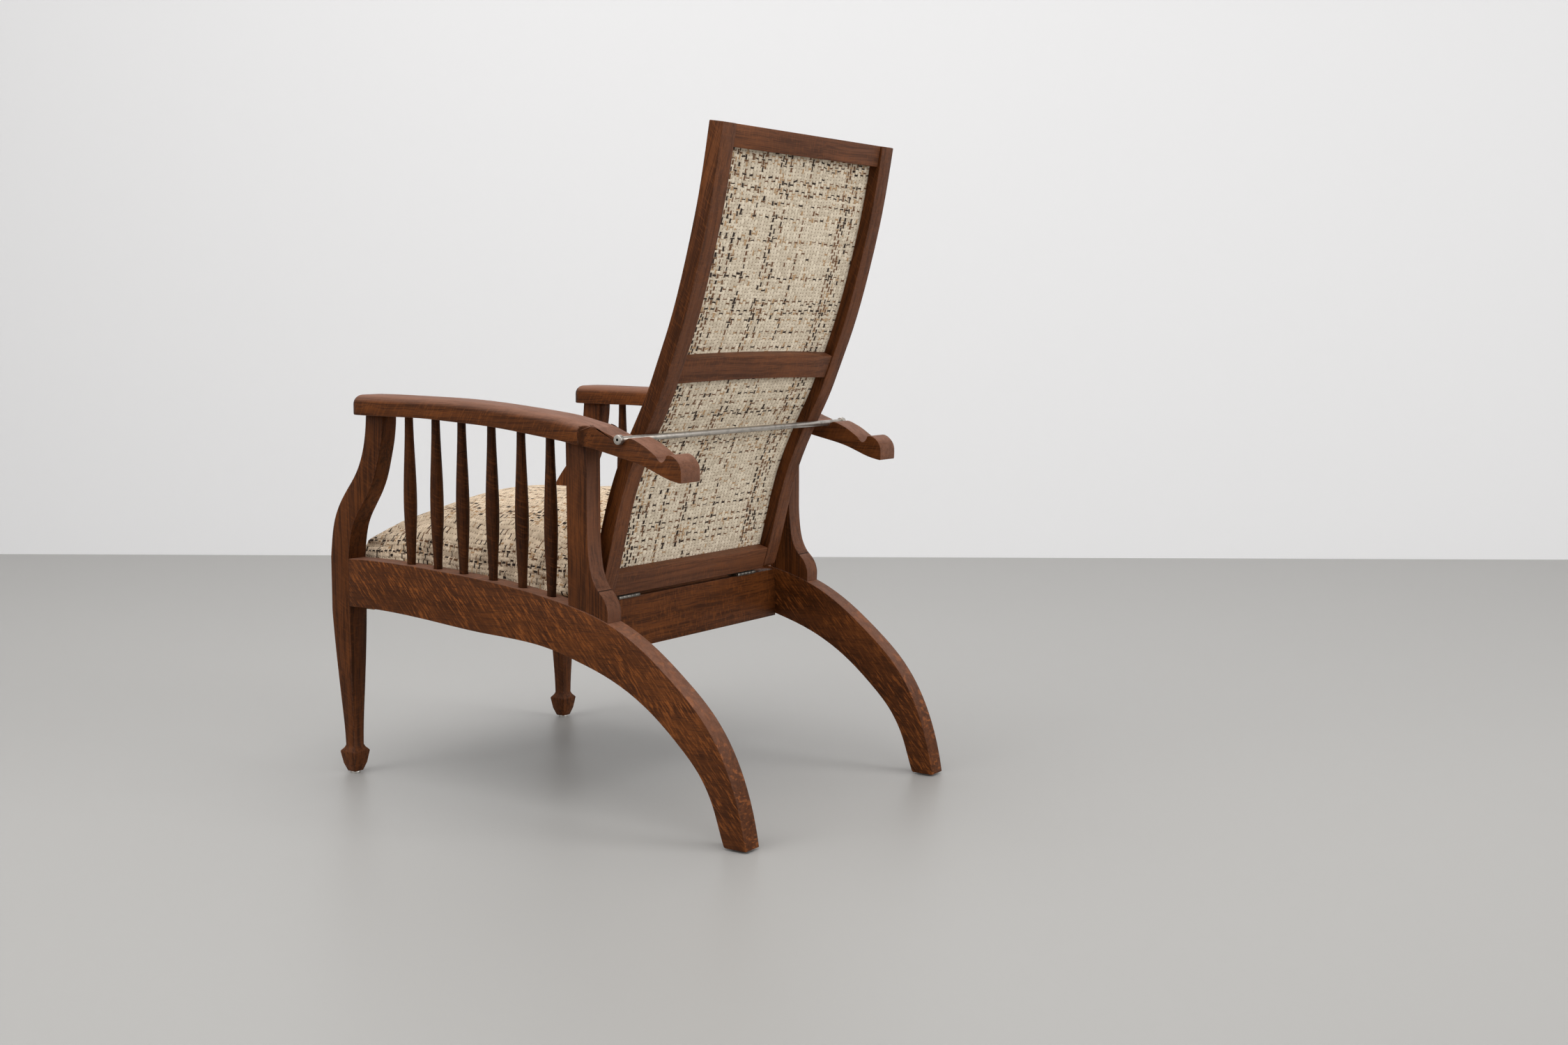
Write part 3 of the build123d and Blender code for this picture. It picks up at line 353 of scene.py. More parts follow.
# Patterns of the oak, in waves a metre: twice across the grain, then along it
OAK_BANDS = (130, 130, 2.2)
OAK_LINES = (620, 620, 9)
OAK_PORES = (1050, 1050, 38)
OAK_RAYS = (90, 46, 400)
OAK_RAY_FIELDS = (26, 26, 12)
OAK_PATCHES = (9, 9, 5)
GRAIN_WAVER = 12 * MM


def grain_group():
    """Quartered oak: straight grain along Z, fine pores, and rays that cross it on a slant."""
    if "quartered_grain" in bpy.data.node_groups:
        return bpy.data.node_groups["quartered_grain"]
    tree, given, result = new_group("quartered_grain", {"Vector": None, "Ray Slant": 0.5},
                                    ("Figure", "Pores", "Rays", "Ray Shadows", "Patches"))
    vector = given.outputs["Vector"]
    bent = wavering(tree, vector, 6.0, 1.0, GRAIN_WAVER)
    bands = stretched(tree, bent, OAK_BANDS, 3.0, 0.55)
    lines = stretched(tree, bent, OAK_LINES, 2.0, 0.6)
    dashes = stretched(tree, bent, OAK_PORES, 1.0, 0.5)
    slant = put(tree, "ShaderNodeVectorRotate",
                {"Vector": bent, "Axis": (1, 0, 0), "Angle": given.outputs["Ray Slant"]},
                rotation_type="AXIS_ANGLE").outputs[0]
    ribbons = stretched(tree, slant, OAK_RAYS, 2.0, 0.55, 0.4)
    where = remap(tree, stretched(tree, vector, OAK_RAY_FIELDS), 0.30, 0.58, 0.25, 1.0)
    feed(tree, result, {
        "Figure": plus(tree, times(tree, bands, 0.55), times(tree, lines, 0.45)),
        "Pores": remap(tree, dashes, 0.56, 0.68, smooth=True),
        "Rays": times(tree, remap(tree, ribbons, 0.54, 0.635, smooth=True), where),
        "Ray Shadows": times(tree, remap(tree, ribbons, 0.49, 0.38, smooth=True), where),
        "Patches": stretched(tree, vector, OAK_PATCHES, 3.0, 0.6),
    })
    return tree


def wear_and_facing_light_group():
    """Rubbed edges, broken up by a fine noise, and the faces that look up or to the rear, which the oak
    lightens with painted light.
    """
    if "edge_wear_and_facing_light" in bpy.data.node_groups:
        return bpy.data.node_groups["edge_wear_and_facing_light"]
    tree, given, result = new_group("edge_wear_and_facing_light", {"Vector": None, "Reach": 2 * MM},
                                    ("Edge", "Upward", "Rearward"))
    eased = put(tree, "ShaderNodeBevel", {"Radius": given.outputs["Reach"]}, samples=6)
    facing = tree.nodes.new("ShaderNodeNewGeometry")
    likeness = put(tree, "ShaderNodeVectorMath", {0: eased.outputs[0], 1: facing.outputs["Normal"]},
                   operation="DOT_PRODUCT").outputs["Value"]
    edge = remap(tree, likeness, 0.995, 0.82)
    ragged = remap(tree, noise(tree, given.outputs["Vector"], 160.0, 3.0, 0.6), 0.36, 0.62)
    own = axes(tree, coordinates(tree, "Normal"))
    feed(tree, result, {
        "Edge": times(tree, edge, ragged, clamp=True),
        "Upward": remap(tree, own["Z"], 0.20, 0.90, smooth=True),
        "Rearward": remap(tree, own["Y"], 0.45, 0.90, smooth=True),
    })
    return tree


def glue_line(tree, place, colour, tone, middle, top):
    """A dark joint across a piece at one y, up to its top."""
    split = axes(tree, place)
    line = near_line(tree, minus(tree, split["Y"], middle), 0.4 * MM, 0.9 * MM)
    line = times(tree, line, maths(tree, "LESS_THAN", split["Z"], top))
    return mixed(tree, times(tree, line, 0.85), colour, tone)


def short_crack(tree, place, colour, tone, waver, middle, height):
    """A short dark crack on the left side of the chair, on a slope and a little uneven."""
    split = axes(tree, place)
    slope = times(tree, minus(tree, split["Y"], middle), 0.35)
    off = minus(tree, minus(tree, split["Z"], height), slope)
    off = plus(tree, off, times(tree, waver, 2 * MM))
    gap = near_line(tree, off, 0.3 * MM, 0.9 * MM)
    beside = size_of(tree, minus(tree, split["Y"], middle))
    here = times(tree, maths(tree, "LESS_THAN", beside, 20 * MM), maths(tree, "GREATER_THAN", split["X"], 0))
    return mixed(tree, times(tree, times(tree, gap, here), 0.9), colour, tone)


OAK_GLOSS = 0.42


def oak(name, turn=(0, 0, 0), slant=0.5, ray_share=0.5, fade_and_top_light=0.15, edge=0.5, figure=0.7, depth=1.0, rear=0.0,
        end=None, joint=None, crack=None, bare=False):
    """Quartered oak, stained or bare. turn brings the grain, which runs along Z, to the piece's own length.

    The fade share lightens the faces that look up, partly real fading and partly painted light from above;
    rear is how much painted sheen lightens the faces that look to the rear; end is how dark end grain is, and
    the y it reaches, a darkening that also paints shade into the scoop under the arm's shoulder; joint is the
    y and the top of a dark glue line; crack is the y and z of a short dark crack on the left side.
    """
    if name in bpy.data.materials:
        return bpy.data.materials[name]
    colours = bpy.context.scene.armchair_colours
    if bare:
        ground = streak = rubbed_and_sheen_tone = colours.inner_oak
        dark = shaded(colours.inner_oak, 0.5)
    else:
        ground, dark, streak = (shaded(tone, depth) for tone in (
            colours.oak_ground, colours.oak_dark, colours.oak_streak))
        rubbed_and_sheen_tone = colours.oak_rubbed_and_sheen
    reach = bpy.context.scene.armchair_sizes.wear_reach
    material, tree, shader = new_material(name)
    place = coordinates(tree, "Object")
    grain = put(tree, "ShaderNodeGroup", {"Vector": turned(tree, place, turn=turn), "Ray Slant": slant},
                node_tree=grain_group()).outputs
    worn = put(tree, "ShaderNodeGroup", {"Vector": place, "Reach": reach}, node_tree=wear_and_facing_light_group()).outputs
    shade = remap(tree, grain["Figure"], 0.40, 0.55, 1.0 - figure, 1.0, smooth=True)
    colour = mixed(tree, shade, dark, ground)
    warm = times(tree, remap(tree, grain["Patches"], 0.42, 0.72, smooth=True), shade)
    for mask, share, tone in ((warm, 0.40, streak), (grain["Ray Shadows"], ray_share * 0.65, dark),
                              (grain["Rays"], ray_share, streak), (grain["Pores"], 0.55, dark)):
        colour = mixed(tree, times(tree, mask, share), colour, tone)
    # Painted light: faces that look up lighten, partly real fading and partly painted top light, and faces
    # that look to the rear lighten as painted sheen
    faded_and_lit = maths(tree, "MAXIMUM", times(tree, worn["Upward"], fade_and_top_light), times(tree, worn["Rearward"], rear))
    uneven = times(tree, faded_and_lit, remap(tree, grain["Figure"], 0.35, 0.65, 0.6, 1.0))
    # One mask for worn edges and for the painted light and sheen of the faces that look up or to the rear
    rubbed_and_sheen = maths(tree, "MAXIMUM", times(tree, worn["Edge"], edge), uneven)
    # Darker end grain in front of a y: real end grain, and also painted shade in the scoop under the arm's
    # shoulder
    if end:
        darkness, end_reach = end
        facing = turned(tree, coordinates(tree, "Normal"), turn=turn)
        across = remap(tree, size_of(tree, axes(tree, facing)["Z"]), 0.24, 0.50, smooth=True)
        across = times(tree, across, maths(tree, "LESS_THAN", axes(tree, place)["Y"], end_reach))
        rubbed_and_sheen = times(tree, rubbed_and_sheen, minus(tree, 1.0, across))
        colour = mixed(tree, times(tree, across, darkness), colour, dark)
    colour = mixed(tree, rubbed_and_sheen, colour, rubbed_and_sheen_tone)
    if joint:
        colour = glue_line(tree, place, colour, shaded(dark, 0.25), *joint)
    if crack:
        colour = short_crack(tree, place, colour, shaded(dark, 0.2), grain["Patches"], *crack)
    rough = remap(tree, grain["Figure"], 0.3, 0.7, OAK_GLOSS + 0.12, OAK_GLOSS - 0.04)
    rough = plus(tree, rough, times(tree, rubbed_and_sheen, 0.18))
    feed(tree, shader, {"Base Color": colour, "Roughness": rough, "Specular IOR Level": 0.11})
    height = minus(tree, times(tree, grain["Figure"], 0.6), times(tree, grain["Pores"], 0.5))
    raise_surface(tree, shader, height, 0.5, 0.6 * MM)
    return material


def weave_group():
    """Basket weave of yarn bundles on a surface map in metres: its height, which yarn shows, and the painted
    shade in the gaps between bundles.
    """
    if "basket_weave" in bpy.data.node_groups:
        return bpy.data.node_groups["basket_weave"]
    tree, given, result = new_group(
        "basket_weave", {"Surface": None, "Across": 8.7 * MM, "Up": 5.3 * MM, "Density": 1.0},
        ("Height", "Cream Shade", "Dark", "Brown", "Tan", "Gap Shade"))
    surface = given.outputs["Surface"]
    split = axes(tree, wavering(tree, surface, 42.0, 2.0, 7.5 * MM))
    u = maths(tree, "DIVIDE", split["X"], given.outputs["Across"])
    v = maths(tree, "DIVIDE", split["Y"], given.outputs["Up"])
    column = maths(tree, "FLOOR", u)
    row = maths(tree, "FLOOR", v)

    def from_middle(value):
        return minus(tree, maths(tree, "FRACT", value), 0.5)

    def float_at(along, line, shift):
        """The number of the float that lies at a place, and the place on it from -1 to 1."""
        place = times(tree, plus(tree, plus(tree, along, line), shift), 0.5)
        return maths(tree, "FLOOR", place), times(tree, from_middle(place), 2.0)

    in_column, in_row = from_middle(u), from_middle(v)
    # Floats of the warp stand on every second row, a row later in each next column; the weft fills between
    warp_number, warp_local = float_at(v, column, 0.5)
    weft_number, weft_local = float_at(u, row, 1.5)

    def dome(value, reach, power):
        inside = maths(tree, "POWER", size_of(tree, maths(tree, "DIVIDE", value, reach)), power)
        return minus(tree, 1.0, inside, clamp=True)

    def bundle(across, along, half, reach, power, turns, level, relief):
        """Height of a yarn bundle: domed both ways, with its strands twisted round each other."""
        body = times(tree, dome(across, half, 2.2), maths(tree, "POWER", dome(along, reach, power), 0.6))
        twist = maths(tree, "SINE", plus(tree, times(tree, across, math.pi * turns), times(tree, along, 1.6)))
        return times(tree, body, plus(tree, level, times(tree, twist, relief)))

    warp_high = bundle(in_column, warp_local, half=0.5, reach=0.92, power=2.0, turns=5,
                       level=0.86, relief=0.14)
    weft_high = bundle(in_row, weft_local, half=0.48, reach=0.76, power=2.2, turns=4,
                       level=0.72, relief=0.13)
    on_top = maths(tree, "GREATER_THAN", warp_high, weft_high)
    high = maths(tree, "MAXIMUM", warp_high, weft_high)
    fuzz = noise(tree, surface, 800.0, 2.0, 0.6)

    def either(warp, weft):
        return put(tree, "ShaderNodeMix", {0: on_top, 2: weft, 3: warp}, data_type="FLOAT").outputs[0]

    key_column = either(column, weft_number)
    key_row = either(warp_number, row)

    def drawn(shift):
        """A chance of its own for each float."""
        key = joined(tree, key_column, key_row, shift)
        return put(tree, "ShaderNodeTexWhiteNoise", {"Vector": key}, noise_dimensions="3D").outputs["Value"]

    def dyed(line, along, shift):
        """How dark a yarn runs at one place: by its own line, in lengths of a few floats."""
        own = joined(tree, times(tree, line, 0.61), shift, shift)
        length = joined(tree, times(tree, line, 2.37), times(tree, along, 0.16), shift)
        return times(tree, remap(tree, noise(tree, own, 1.0, 0.0), 0.53, 0.60, 0.03, 1.05),
                     remap(tree, noise(tree, length, 1.0, 1.0), 0.34, 0.56, 0.30, 1.0))

    # Space-dyed yarns lie in some columns and rows, so dark lengths gather in loose plaid lines
    line = times(tree, either(dyed(column, v, 3.7), dyed(row, u, 9.1)), given.outputs["Density"])
    chance = drawn(on_top)
    shape = remap(tree, plus(tree, high, times(tree, fuzz, 0.5)), 0.50, 0.78, smooth=True)
    # Only one strand of a bundle is dyed, lying at a place of its own across it
    lie = times(tree, minus(tree, drawn(plus(tree, on_top, 3.1)), 0.5), 0.6)
    shape = times(tree, shape, near_line(tree, minus(tree, either(in_column, in_row), lie), 0.21, 0.34))
    for label, share, extra in (("Dark", 0.46, 0.0), ("Brown", 0.86, 0.01), ("Tan", 1.2, 0.05)):
        limit = plus(tree, times(tree, line, share), extra)
        feed(tree, result, {label: times(tree, maths(tree, "LESS_THAN", chance, limit), shape)})
    shade = drawn(plus(tree, on_top, 7.3))
    # Gap is painted shade: darker where the bundles lie low, between them
    feed(tree, result, {
        "Height": plus(tree, high, times(tree, fuzz, 0.3)),
        "Gap Shade": remap(tree, high, 0.12, 0.44, 1.0, 0.0, smooth=True),
        "Cream Shade": plus(tree, times(tree, shade, 0.6), times(tree, fuzz, 0.4)),
    })
    return tree


def tweed(name="chunky_tweed", cream=None, light=None, dense_under=None):
    """Chunky cream tweed with dark and brown lengths of yarn, more of them under a given height."""
    if name in bpy.data.materials:
        return bpy.data.materials[name]
    colours = bpy.context.scene.armchair_colours
    sizes = bpy.context.scene.armchair_sizes
    material, tree, shader = new_material(name)
    surface = put(tree, "ShaderNodeUVMap", uv_map="surface").outputs[0]
    spacing = {"Across": sizes.weave_across, "Up": sizes.weave_up}
    weave = put(tree, "ShaderNodeGroup", {"Surface": surface, **spacing}, node_tree=weave_group())
    if dense_under:
        height = axes(tree, coordinates(tree, "Object"))["Z"]
        lowest, highest = dense_under - 12 * MM, dense_under + 12 * MM
        feed(tree, weave, {"Density": remap(tree, height, lowest, highest, 2.6, 0.75, smooth=True)})
    cream = cream or colours.yarn_cream
    bright = mixed(tree, weave.outputs["Cream Shade"], shaded(cream, 0.66), light or colours.yarn_light)
    # Painted shade: the gaps between the bundles darken to a deep tone of the cream
    gap_shade_tone = [tone * share for tone, share in zip(cream, (0.22, 0.145, 0.10))]
    colour = mixed(tree, times(tree, weave.outputs["Gap Shade"], 0.85), bright, gap_shade_tone)
    for label, share, tone in (("Tan", 0.8, colours.yarn_tan), ("Brown", 0.9, colours.yarn_brown),
                               ("Dark", 0.95, colours.yarn_black)):
        colour = mixed(tree, times(tree, weave.outputs[label], share), colour, tone)
    feed(tree, shader, {"Base Color": colour, "Roughness": 0.92, "Specular IOR Level": 0.2,
                        "Sheen Weight": 0.04, "Sheen Roughness": 0.6})
    raise_surface(tree, shader, weave.outputs["Height"], 1.0, sizes.weave_height)
    return material


def plain_cloth(name, colour, pitch):
    """Plain woven cloth on object coordinates, with fine threads both ways, a pitch apart."""
    if name in bpy.data.materials:
        return bpy.data.materials[name]
    material, tree, shader = new_material(name)
    place = coordinates(tree, "Object")
    split = axes(tree, place)
    threads = [size_of(tree, maths(tree, "SINE", times(tree, split[axis], math.pi / pitch)))
               for axis in ("X", "Y")]
    height = times(tree, *threads)
    patch = noise(tree, place, 300.0, 4.0, 0.6)
    # Painted shade of the weave: lighter where the threads stand high, darker between them, mixed with a
    # patchy noise
    shade = plus(tree, times(tree, height, 0.5), times(tree, patch, 0.5))
    feed(tree, shader, {"Base Color": mixed(tree, shade, shaded(colour, 0.6), shaded(colour, 1.25)),
                        "Roughness": 0.9})
    raise_surface(tree, shader, height, 0.7, 0.5 * MM)
    return material


def metal(name, colour, rough, tarnish, bore_shade=None):
    """Dull plated metal with fine scratches and tarnished patches.

    The bore gives the y, z, radius and start of a hole that runs along X on both sides, drawn as painted
    shade: a near-black disc.
    """
    if name in bpy.data.materials:
        return bpy.data.materials[name]
    material, tree, shader = new_material(name)
    place = coordinates(tree, "Object")
    patch = noise(tree, place, 60.0, 5.0, 0.65)
    scratch = stretched(tree, place, (120, 1600, 1600))
    tarnished = times(tree, remap(tree, patch, 0.46, 0.66, smooth=True), tarnish)
    tone = mixed(tree, tarnished, colour, shaded(colour, 0.34))
    # Painted shade: a near-black disc where a hole runs into the heads
    if bore_shade:
        bore_y, bore_z, radius, start = bore_shade
        split = axes(tree, place)
        off = [maths(tree, "POWER", size_of(tree, minus(tree, split[axis], middle)), 2.0)
               for axis, middle in (("Y", bore_y), ("Z", bore_z))]
        near = maths(tree, "LESS_THAN", plus(tree, *off), radius ** 2)
        outer = maths(tree, "GREATER_THAN", size_of(tree, split["X"]), start)
        tone = mixed(tree, times(tree, near, outer), tone, shaded(colour, 0.03))
    uneven = plus(tree, patch, times(tree, scratch, 0.5))
    feed(tree, shader, {"Base Color": tone, "Metallic": 1.0,
                        "Roughness": remap(tree, uneven, 0.5, 1.0, rough - 0.08, rough + 0.16)})
    raise_surface(tree, shader, scratch, 0.25, 0.2 * MM)
    return material


# Grain turned from Z to the length of each kind of piece
GRAIN_UP = (0.0, 0.0, 0.0)
GRAIN_ALONG = (math.radians(90), 0.0, 0.0)
GRAIN_ACROSS = (0.0, math.radians(90), 0.0)
GRAIN_BACK = (math.radians(18), 0.0, 0.0)

# Small features that only a material shows, in metres in the frame's own axes
TOE_JOINT = (0.1542, 0.366)
# End grain in front of this y is darkened, which also paints shade into the shoulder scoop
ARM_TAIL_FRONT = 0.19
SPINDLE_CRACK = (-0.1389, 0.5615)
# A hole in the rod's heads, drawn as painted shade
ROD_BORE_SHADE = (0.2096, 0.597, 2.2 * MM, 0.30)

# Finishes of the pieces that hardly show
GLIDE_STEEL = (0.72, 0.70, 0.66)
JUTE_PITCH = 2.2 * MM
DUST_CLOTH_PITCH = 1.2 * MM
INNER_ROUND = 0.8 * MM

SIDES = ("left", "right")
SPINDLES_A_SIDE = 6


def dress(node, material, width):
    """A piece in the shape of its CAD node, its edges eased by a width, or as they are where that is 0."""
    piece = copy_of(node, f"{node}_dressed")
    if width:
        ease_edges(piece, width)
    piece.data.materials.append(material)
    stands_for(piece, node)
    return piece


class ARMCHAIR_OT_arched_boards(Operator):
    """Dress the two arched boards"""

    bl_idname = "armchair.arched_boards"
    bl_label = "Arched boards"

    def execute(self, context):
        wood = oak("oak_arched_boards", GRAIN_ALONG, slant=-0.75, ray_share=0.8, fade_and_top_light=0.6, figure=0.35)
        for side in SIDES:
            dress(f"arched_board_{side}", wood, context.scene.armchair_sizes.edge_round)
        return {"FINISHED"}


class ARMCHAIR_OT_front_legs(Operator):
    """Dress the front legs"""

    bl_idname = "armchair.front_legs"
    bl_label = "Front legs"

    def execute(self, context):
        wood = oak("oak_front_legs", GRAIN_UP, ray_share=0.15, fade_and_top_light=0.1, figure=0.8)
        for side in SIDES:
            dress(f"front_leg_{side}", wood, context.scene.armchair_sizes.edge_round)
        return {"FINISHED"}


class ARMCHAIR_OT_rear_posts(Operator):
    """Dress the rear posts and their glued toes"""

    bl_idname = "armchair.rear_posts"
    bl_label = "Rear posts"

    def execute(self, context):
        wood = oak("oak_rear_posts", GRAIN_UP, ray_share=0.1, fade_and_top_light=0.5, figure=0.85, rear=0.3,
                   joint=TOE_JOINT)
        for side in SIDES:
            dress(f"rear_post_{side}", wood, context.scene.armchair_sizes.edge_round * 0.7)
            dress(f"post_toe_{side}", wood, context.scene.armchair_sizes.edge_round * 0.5)
        return {"FINISHED"}


class ARMCHAIR_OT_arms(Operator):
    """Dress the arms"""

    bl_idname = "armchair.arms"
    bl_label = "Arms"

    def execute(self, context):
        wood = oak("oak_arms", GRAIN_ALONG, ray_share=0.25, fade_and_top_light=0.95, edge=0.6, rear=0.5,
                   end=(0.7, ARM_TAIL_FRONT))
        for side in SIDES:
            dress(f"arm_{side}", wood, context.scene.armchair_sizes.edge_round)
        return {"FINISHED"}


class ARMCHAIR_OT_spindles(Operator):
    """Dress the twelve turned spindles"""

    bl_idname = "armchair.spindles"
    bl_label = "Spindles"

    def execute(self, context):
        wood = oak("oak_spindles", GRAIN_UP, ray_share=0.35, fade_and_top_light=0.0, edge=0.0, depth=0.55,
                   crack=SPINDLE_CRACK)
        for side in SIDES:
            for number in range(1, SPINDLES_A_SIDE + 1):
                smooth_by_angle(dress(f"spindle_{side}_{number}", wood, 0), ROUND_SMOOTH)
        return {"FINISHED"}


class ARMCHAIR_OT_rails(Operator):
    """Dress the front seat rail and the rear crossbar"""

    bl_idname = "armchair.rails"
    bl_label = "Seat rails"

    def execute(self, context):
        wood = oak("oak_rails", GRAIN_ACROSS, slant=0.9, ray_share=0.3)
        for node in ("front_seat_rail", "rear_crossbar"):
            dress(node, wood, context.scene.armchair_sizes.edge_round)
        return {"FINISHED"}


class ARMCHAIR_OT_back_frame(Operator):
    """Dress the stiles and rails of the back"""

    bl_idname = "armchair.back_frame"
    bl_label = "Back frame"

    def execute(self, context):
        stile_wood = oak("oak_back_stiles", GRAIN_BACK, ray_share=0.2, fade_and_top_light=0.3, rear=0.2)
        rail_wood = oak("oak_back_rails", GRAIN_ACROSS, ray_share=0.25, fade_and_top_light=0.25, rear=0.22)
        for side in SIDES:
            dress(f"back_stile_{side}", stile_wood, context.scene.armchair_sizes.edge_round)
        for level in ("top", "middle", "bottom"):
            dress(f"back_{level}_rail", rail_wood, context.scene.armchair_sizes.edge_round)
        return {"FINISHED"}


class ARMCHAIR_OT_inner_frame(Operator):
    """Dress the hidden wood: slip frame, cleats, corner blocks and dowels"""

    bl_idname = "armchair.inner_frame"
    bl_label = "Inner frame"

    def execute(self, context):
        material = oak("bare_inner_oak", GRAIN_ACROSS, ray_share=0.1, fade_and_top_light=0.0, edge=0.2, bare=True)
        for node in ("slip_frame_front", "slip_frame_rear", "slip_frame_left", "slip_frame_right",
                     "seat_cleat_left", "seat_cleat_right", "corner_blocks", "frame_dowels", "back_dowels"):
            dress(node, material, 0 if node.endswith("dowels") else INNER_ROUND)
        return {"FINISHED"}


class ARMCHAIR_OT_upholstery_base(Operator):
    """Dress webbing, springs, deck cloth and dust cloth"""

    bl_idname = "armchair.upholstery_base"
    bl_label = "Webbing and springs"

    def execute(self, context):
        colours = context.scene.armchair_colours
        jute = plain_cloth("jute_webbing", colours.jute, JUTE_PITCH)
        black = plain_cloth("black_dust_cloth", colours.dust_cloth, DUST_CLOTH_PITCH)
        for node in ("seat_webbing_long", "seat_webbing_cross", "back_webbing", "seat_deck_cloth",
                     "seat_springs"):
            dress(node, jute, 0)
        dress("dust_cloth", black, 0)
        return {"FINISHED"}


class ARMCHAIR_OT_hinges(Operator):
    """Dress the butt hinges, pins and screws"""

    bl_idname = "armchair.hinges"
    bl_label = "Hinges"

    def execute(self, context):
        iron = metal("worn_iron", context.scene.armchair_colours.iron, 0.42, 0.8)
        for node in ("hinge_fixed_leaves", "hinge_moving_leaves", "hinge_pins", "hinge_fixed_screws",
                     "hinge_moving_screws"):
            dress(node, iron, context.scene.armchair_sizes.small_round * 0.5)
        return {"FINISHED"}


class ARMCHAIR_OT_prop_rod(Operator):
    """Dress the prop rod and its heads"""

    bl_idname = "armchair.prop_rod"
    bl_label = "Prop rod"

    def execute(self, context):
        nickel = metal("dull_nickel", context.scene.armchair_colours.nickel, 0.38, 0.5, bore_shade=ROD_BORE_SHADE)
        for node in ("prop_rod", "rod_head_left", "rod_head_right"):
            dress(node, nickel, context.scene.armchair_sizes.small_round)
        return {"FINISHED"}


class ARMCHAIR_OT_glides(Operator):
    """Dress the pale glides under the feet"""

    bl_idname = "armchair.glides"
    bl_label = "Glides"

    def execute(self, context):
        pale = metal("glide_steel", GLIDE_STEEL, 0.4, 0.3)
        dress("floor_glides", pale, context.scene.armchair_sizes.small_round)
        return {"FINISHED"}


# Soft pieces

def map_surface(piece, chart):
    """Write the surface map, in metres, that the weave follows.

    chart gives the place on the map of a point, from the point and its face's normal.
    """
    mesh = piece.data
    while mesh.uv_layers:
        mesh.uv_layers.remove(mesh.uv_layers[0])
    layer = mesh.uv_layers.new(name="surface")
    for face in mesh.polygons:
        for corner in face.loop_indices:
            place = mesh.vertices[mesh.loops[corner].vertex_index].co
            layer.data[corner].uv = chart(place, face.normal)


def back_chart(place, normal):
    """Place on the back's cloth: across, and up from the hinges."""
    return place.x, math.hypot(place.y - HINGE_Y, place.z - HINGE_Z)


class ARMCHAIR_OT_back_cloth(Operator):
    """Dress the two outside back panels"""

    bl_idname = "armchair.back_cloth"
    bl_label = "Outside back cloth"

    def execute(self, context):
        cloth = tweed()
        for level in ("upper", "lower"):
            piece = dress(f"back_cloth_{level}", cloth, 0)
            smooth_by_angle(piece, ROUND_SMOOTH)
            map_surface(piece, back_chart)
        return {"FINISHED"}


CLOTH_VOXEL = 6 * MM
STUFFING = {
    "quality": 3, "mass": 0.25, "tension_stiffness": 8, "compression_stiffness": 8, "shear_stiffness": 4,
    "bending_stiffness": 0.3, "use_pressure": True, "uniform_pressure_force": 4.0,
    "vertex_group_mass": "held",
}
STUFFING_FRAMES = 20


def stuffed(piece, draw_in, reach, held):
    """Remesh a soft piece, draw it in, and let cloth under pressure swell it, each point within its reach.

    held tells from a point and its normal whether the point stays where it is.
    """
    remesh = piece.modifiers.new("voxels", "REMESH")
    remesh.mode = "VOXEL"
    remesh.voxel_size = CLOTH_VOXEL
    apply_modifier(piece, remesh)
    mesh = piece.data
    fixed = [point.index for point in mesh.vertices if held(point.co, point.normal)]
    drawn = [point.co - point.normal * draw_in for point in mesh.vertices]
    for index in fixed:
        drawn[index] = mesh.vertices[index].co.copy()
    for point, place in zip(mesh.vertices, drawn):
        point.co = place
    piece.vertex_groups.new(name="held").add(fixed, 1.0, "REPLACE")
    cloth = piece.modifiers.new("stuffing", "CLOTH")
    for field, value in STUFFING.items():
        setattr(cloth.settings, field, value)
    cloth.settings.effector_weights.gravity = 0
    cloth.collision_settings.use_collision = False
    for step in range(1, STUFFING_FRAMES + 1):
        bpy.context.scene.frame_set(step)
    apply_modifier(piece, cloth)
    bpy.context.scene.frame_set(1)
    for point, place in zip(piece.data.vertices, drawn):
        moved = point.co - place
        if moved.length > reach:
            point.co = place + moved * (reach / moved.length)
    finer = piece.modifiers.new("finer", "SUBSURF")
    finer.levels = finer.render_levels = 1
    apply_modifier(piece, finer)
    pick(piece)
    bpy.ops.object.shade_smooth()


def sewn(piece, seam, depth, width):
    """Press a seam into a soft piece.

    seam gives the distance from the seam of a point, from the point and its normal, or None away from it.
    """
    normals = [point.normal.copy() for point in piece.data.vertices]
    for point, normal in zip(piece.data.vertices, normals):
        away = seam(point.co, normal)
        if away is not None:
            point.co -= normal * depth * math.exp(-(away / width) ** 2)


class ARMCHAIR_OT_back_pad(Operator):
    """Make the stuffed back pad"""

    bl_idname = "armchair.back_pad"
    bl_label = "Back pad"

    def execute(self, context):
        piece = copy_of("back_pad", "back_pad_dressed")
        stuffed(piece, 4 * MM, 7 * MM, lambda place, normal: normal.y > 0.25)
        piece.data.materials.append(tweed())
        map_surface(piece, back_chart)
        stands_for(piece, "back_pad")
        return {"FINISHED"}


# Heights and places on the seat cushion, in metres
SEAT_HELD_TOP = 0.350
SEAT_WELL_TOP = 0.398
SEAT_WELL_HALF = 0.215
SEAT_WELL_FRONT = -0.39
SEAM_FRONT = (-0.25, 0.391)
SEAM_REAR = (0.06, 0.362)
SEAM_UNDER = 0.352
CLOTH_ROLL = 0.412
DARK_YARN_TOP = 0.418


def seat_held(place, normal):
    """Whether a point lies in or on the slip seat."""
    in_well = place.z < SEAT_WELL_TOP and abs(place.x) < SEAT_WELL_HALF and place.y > SEAT_WELL_FRONT
    return normal.z < -0.4 or place.z < SEAT_HELD_TOP or in_well


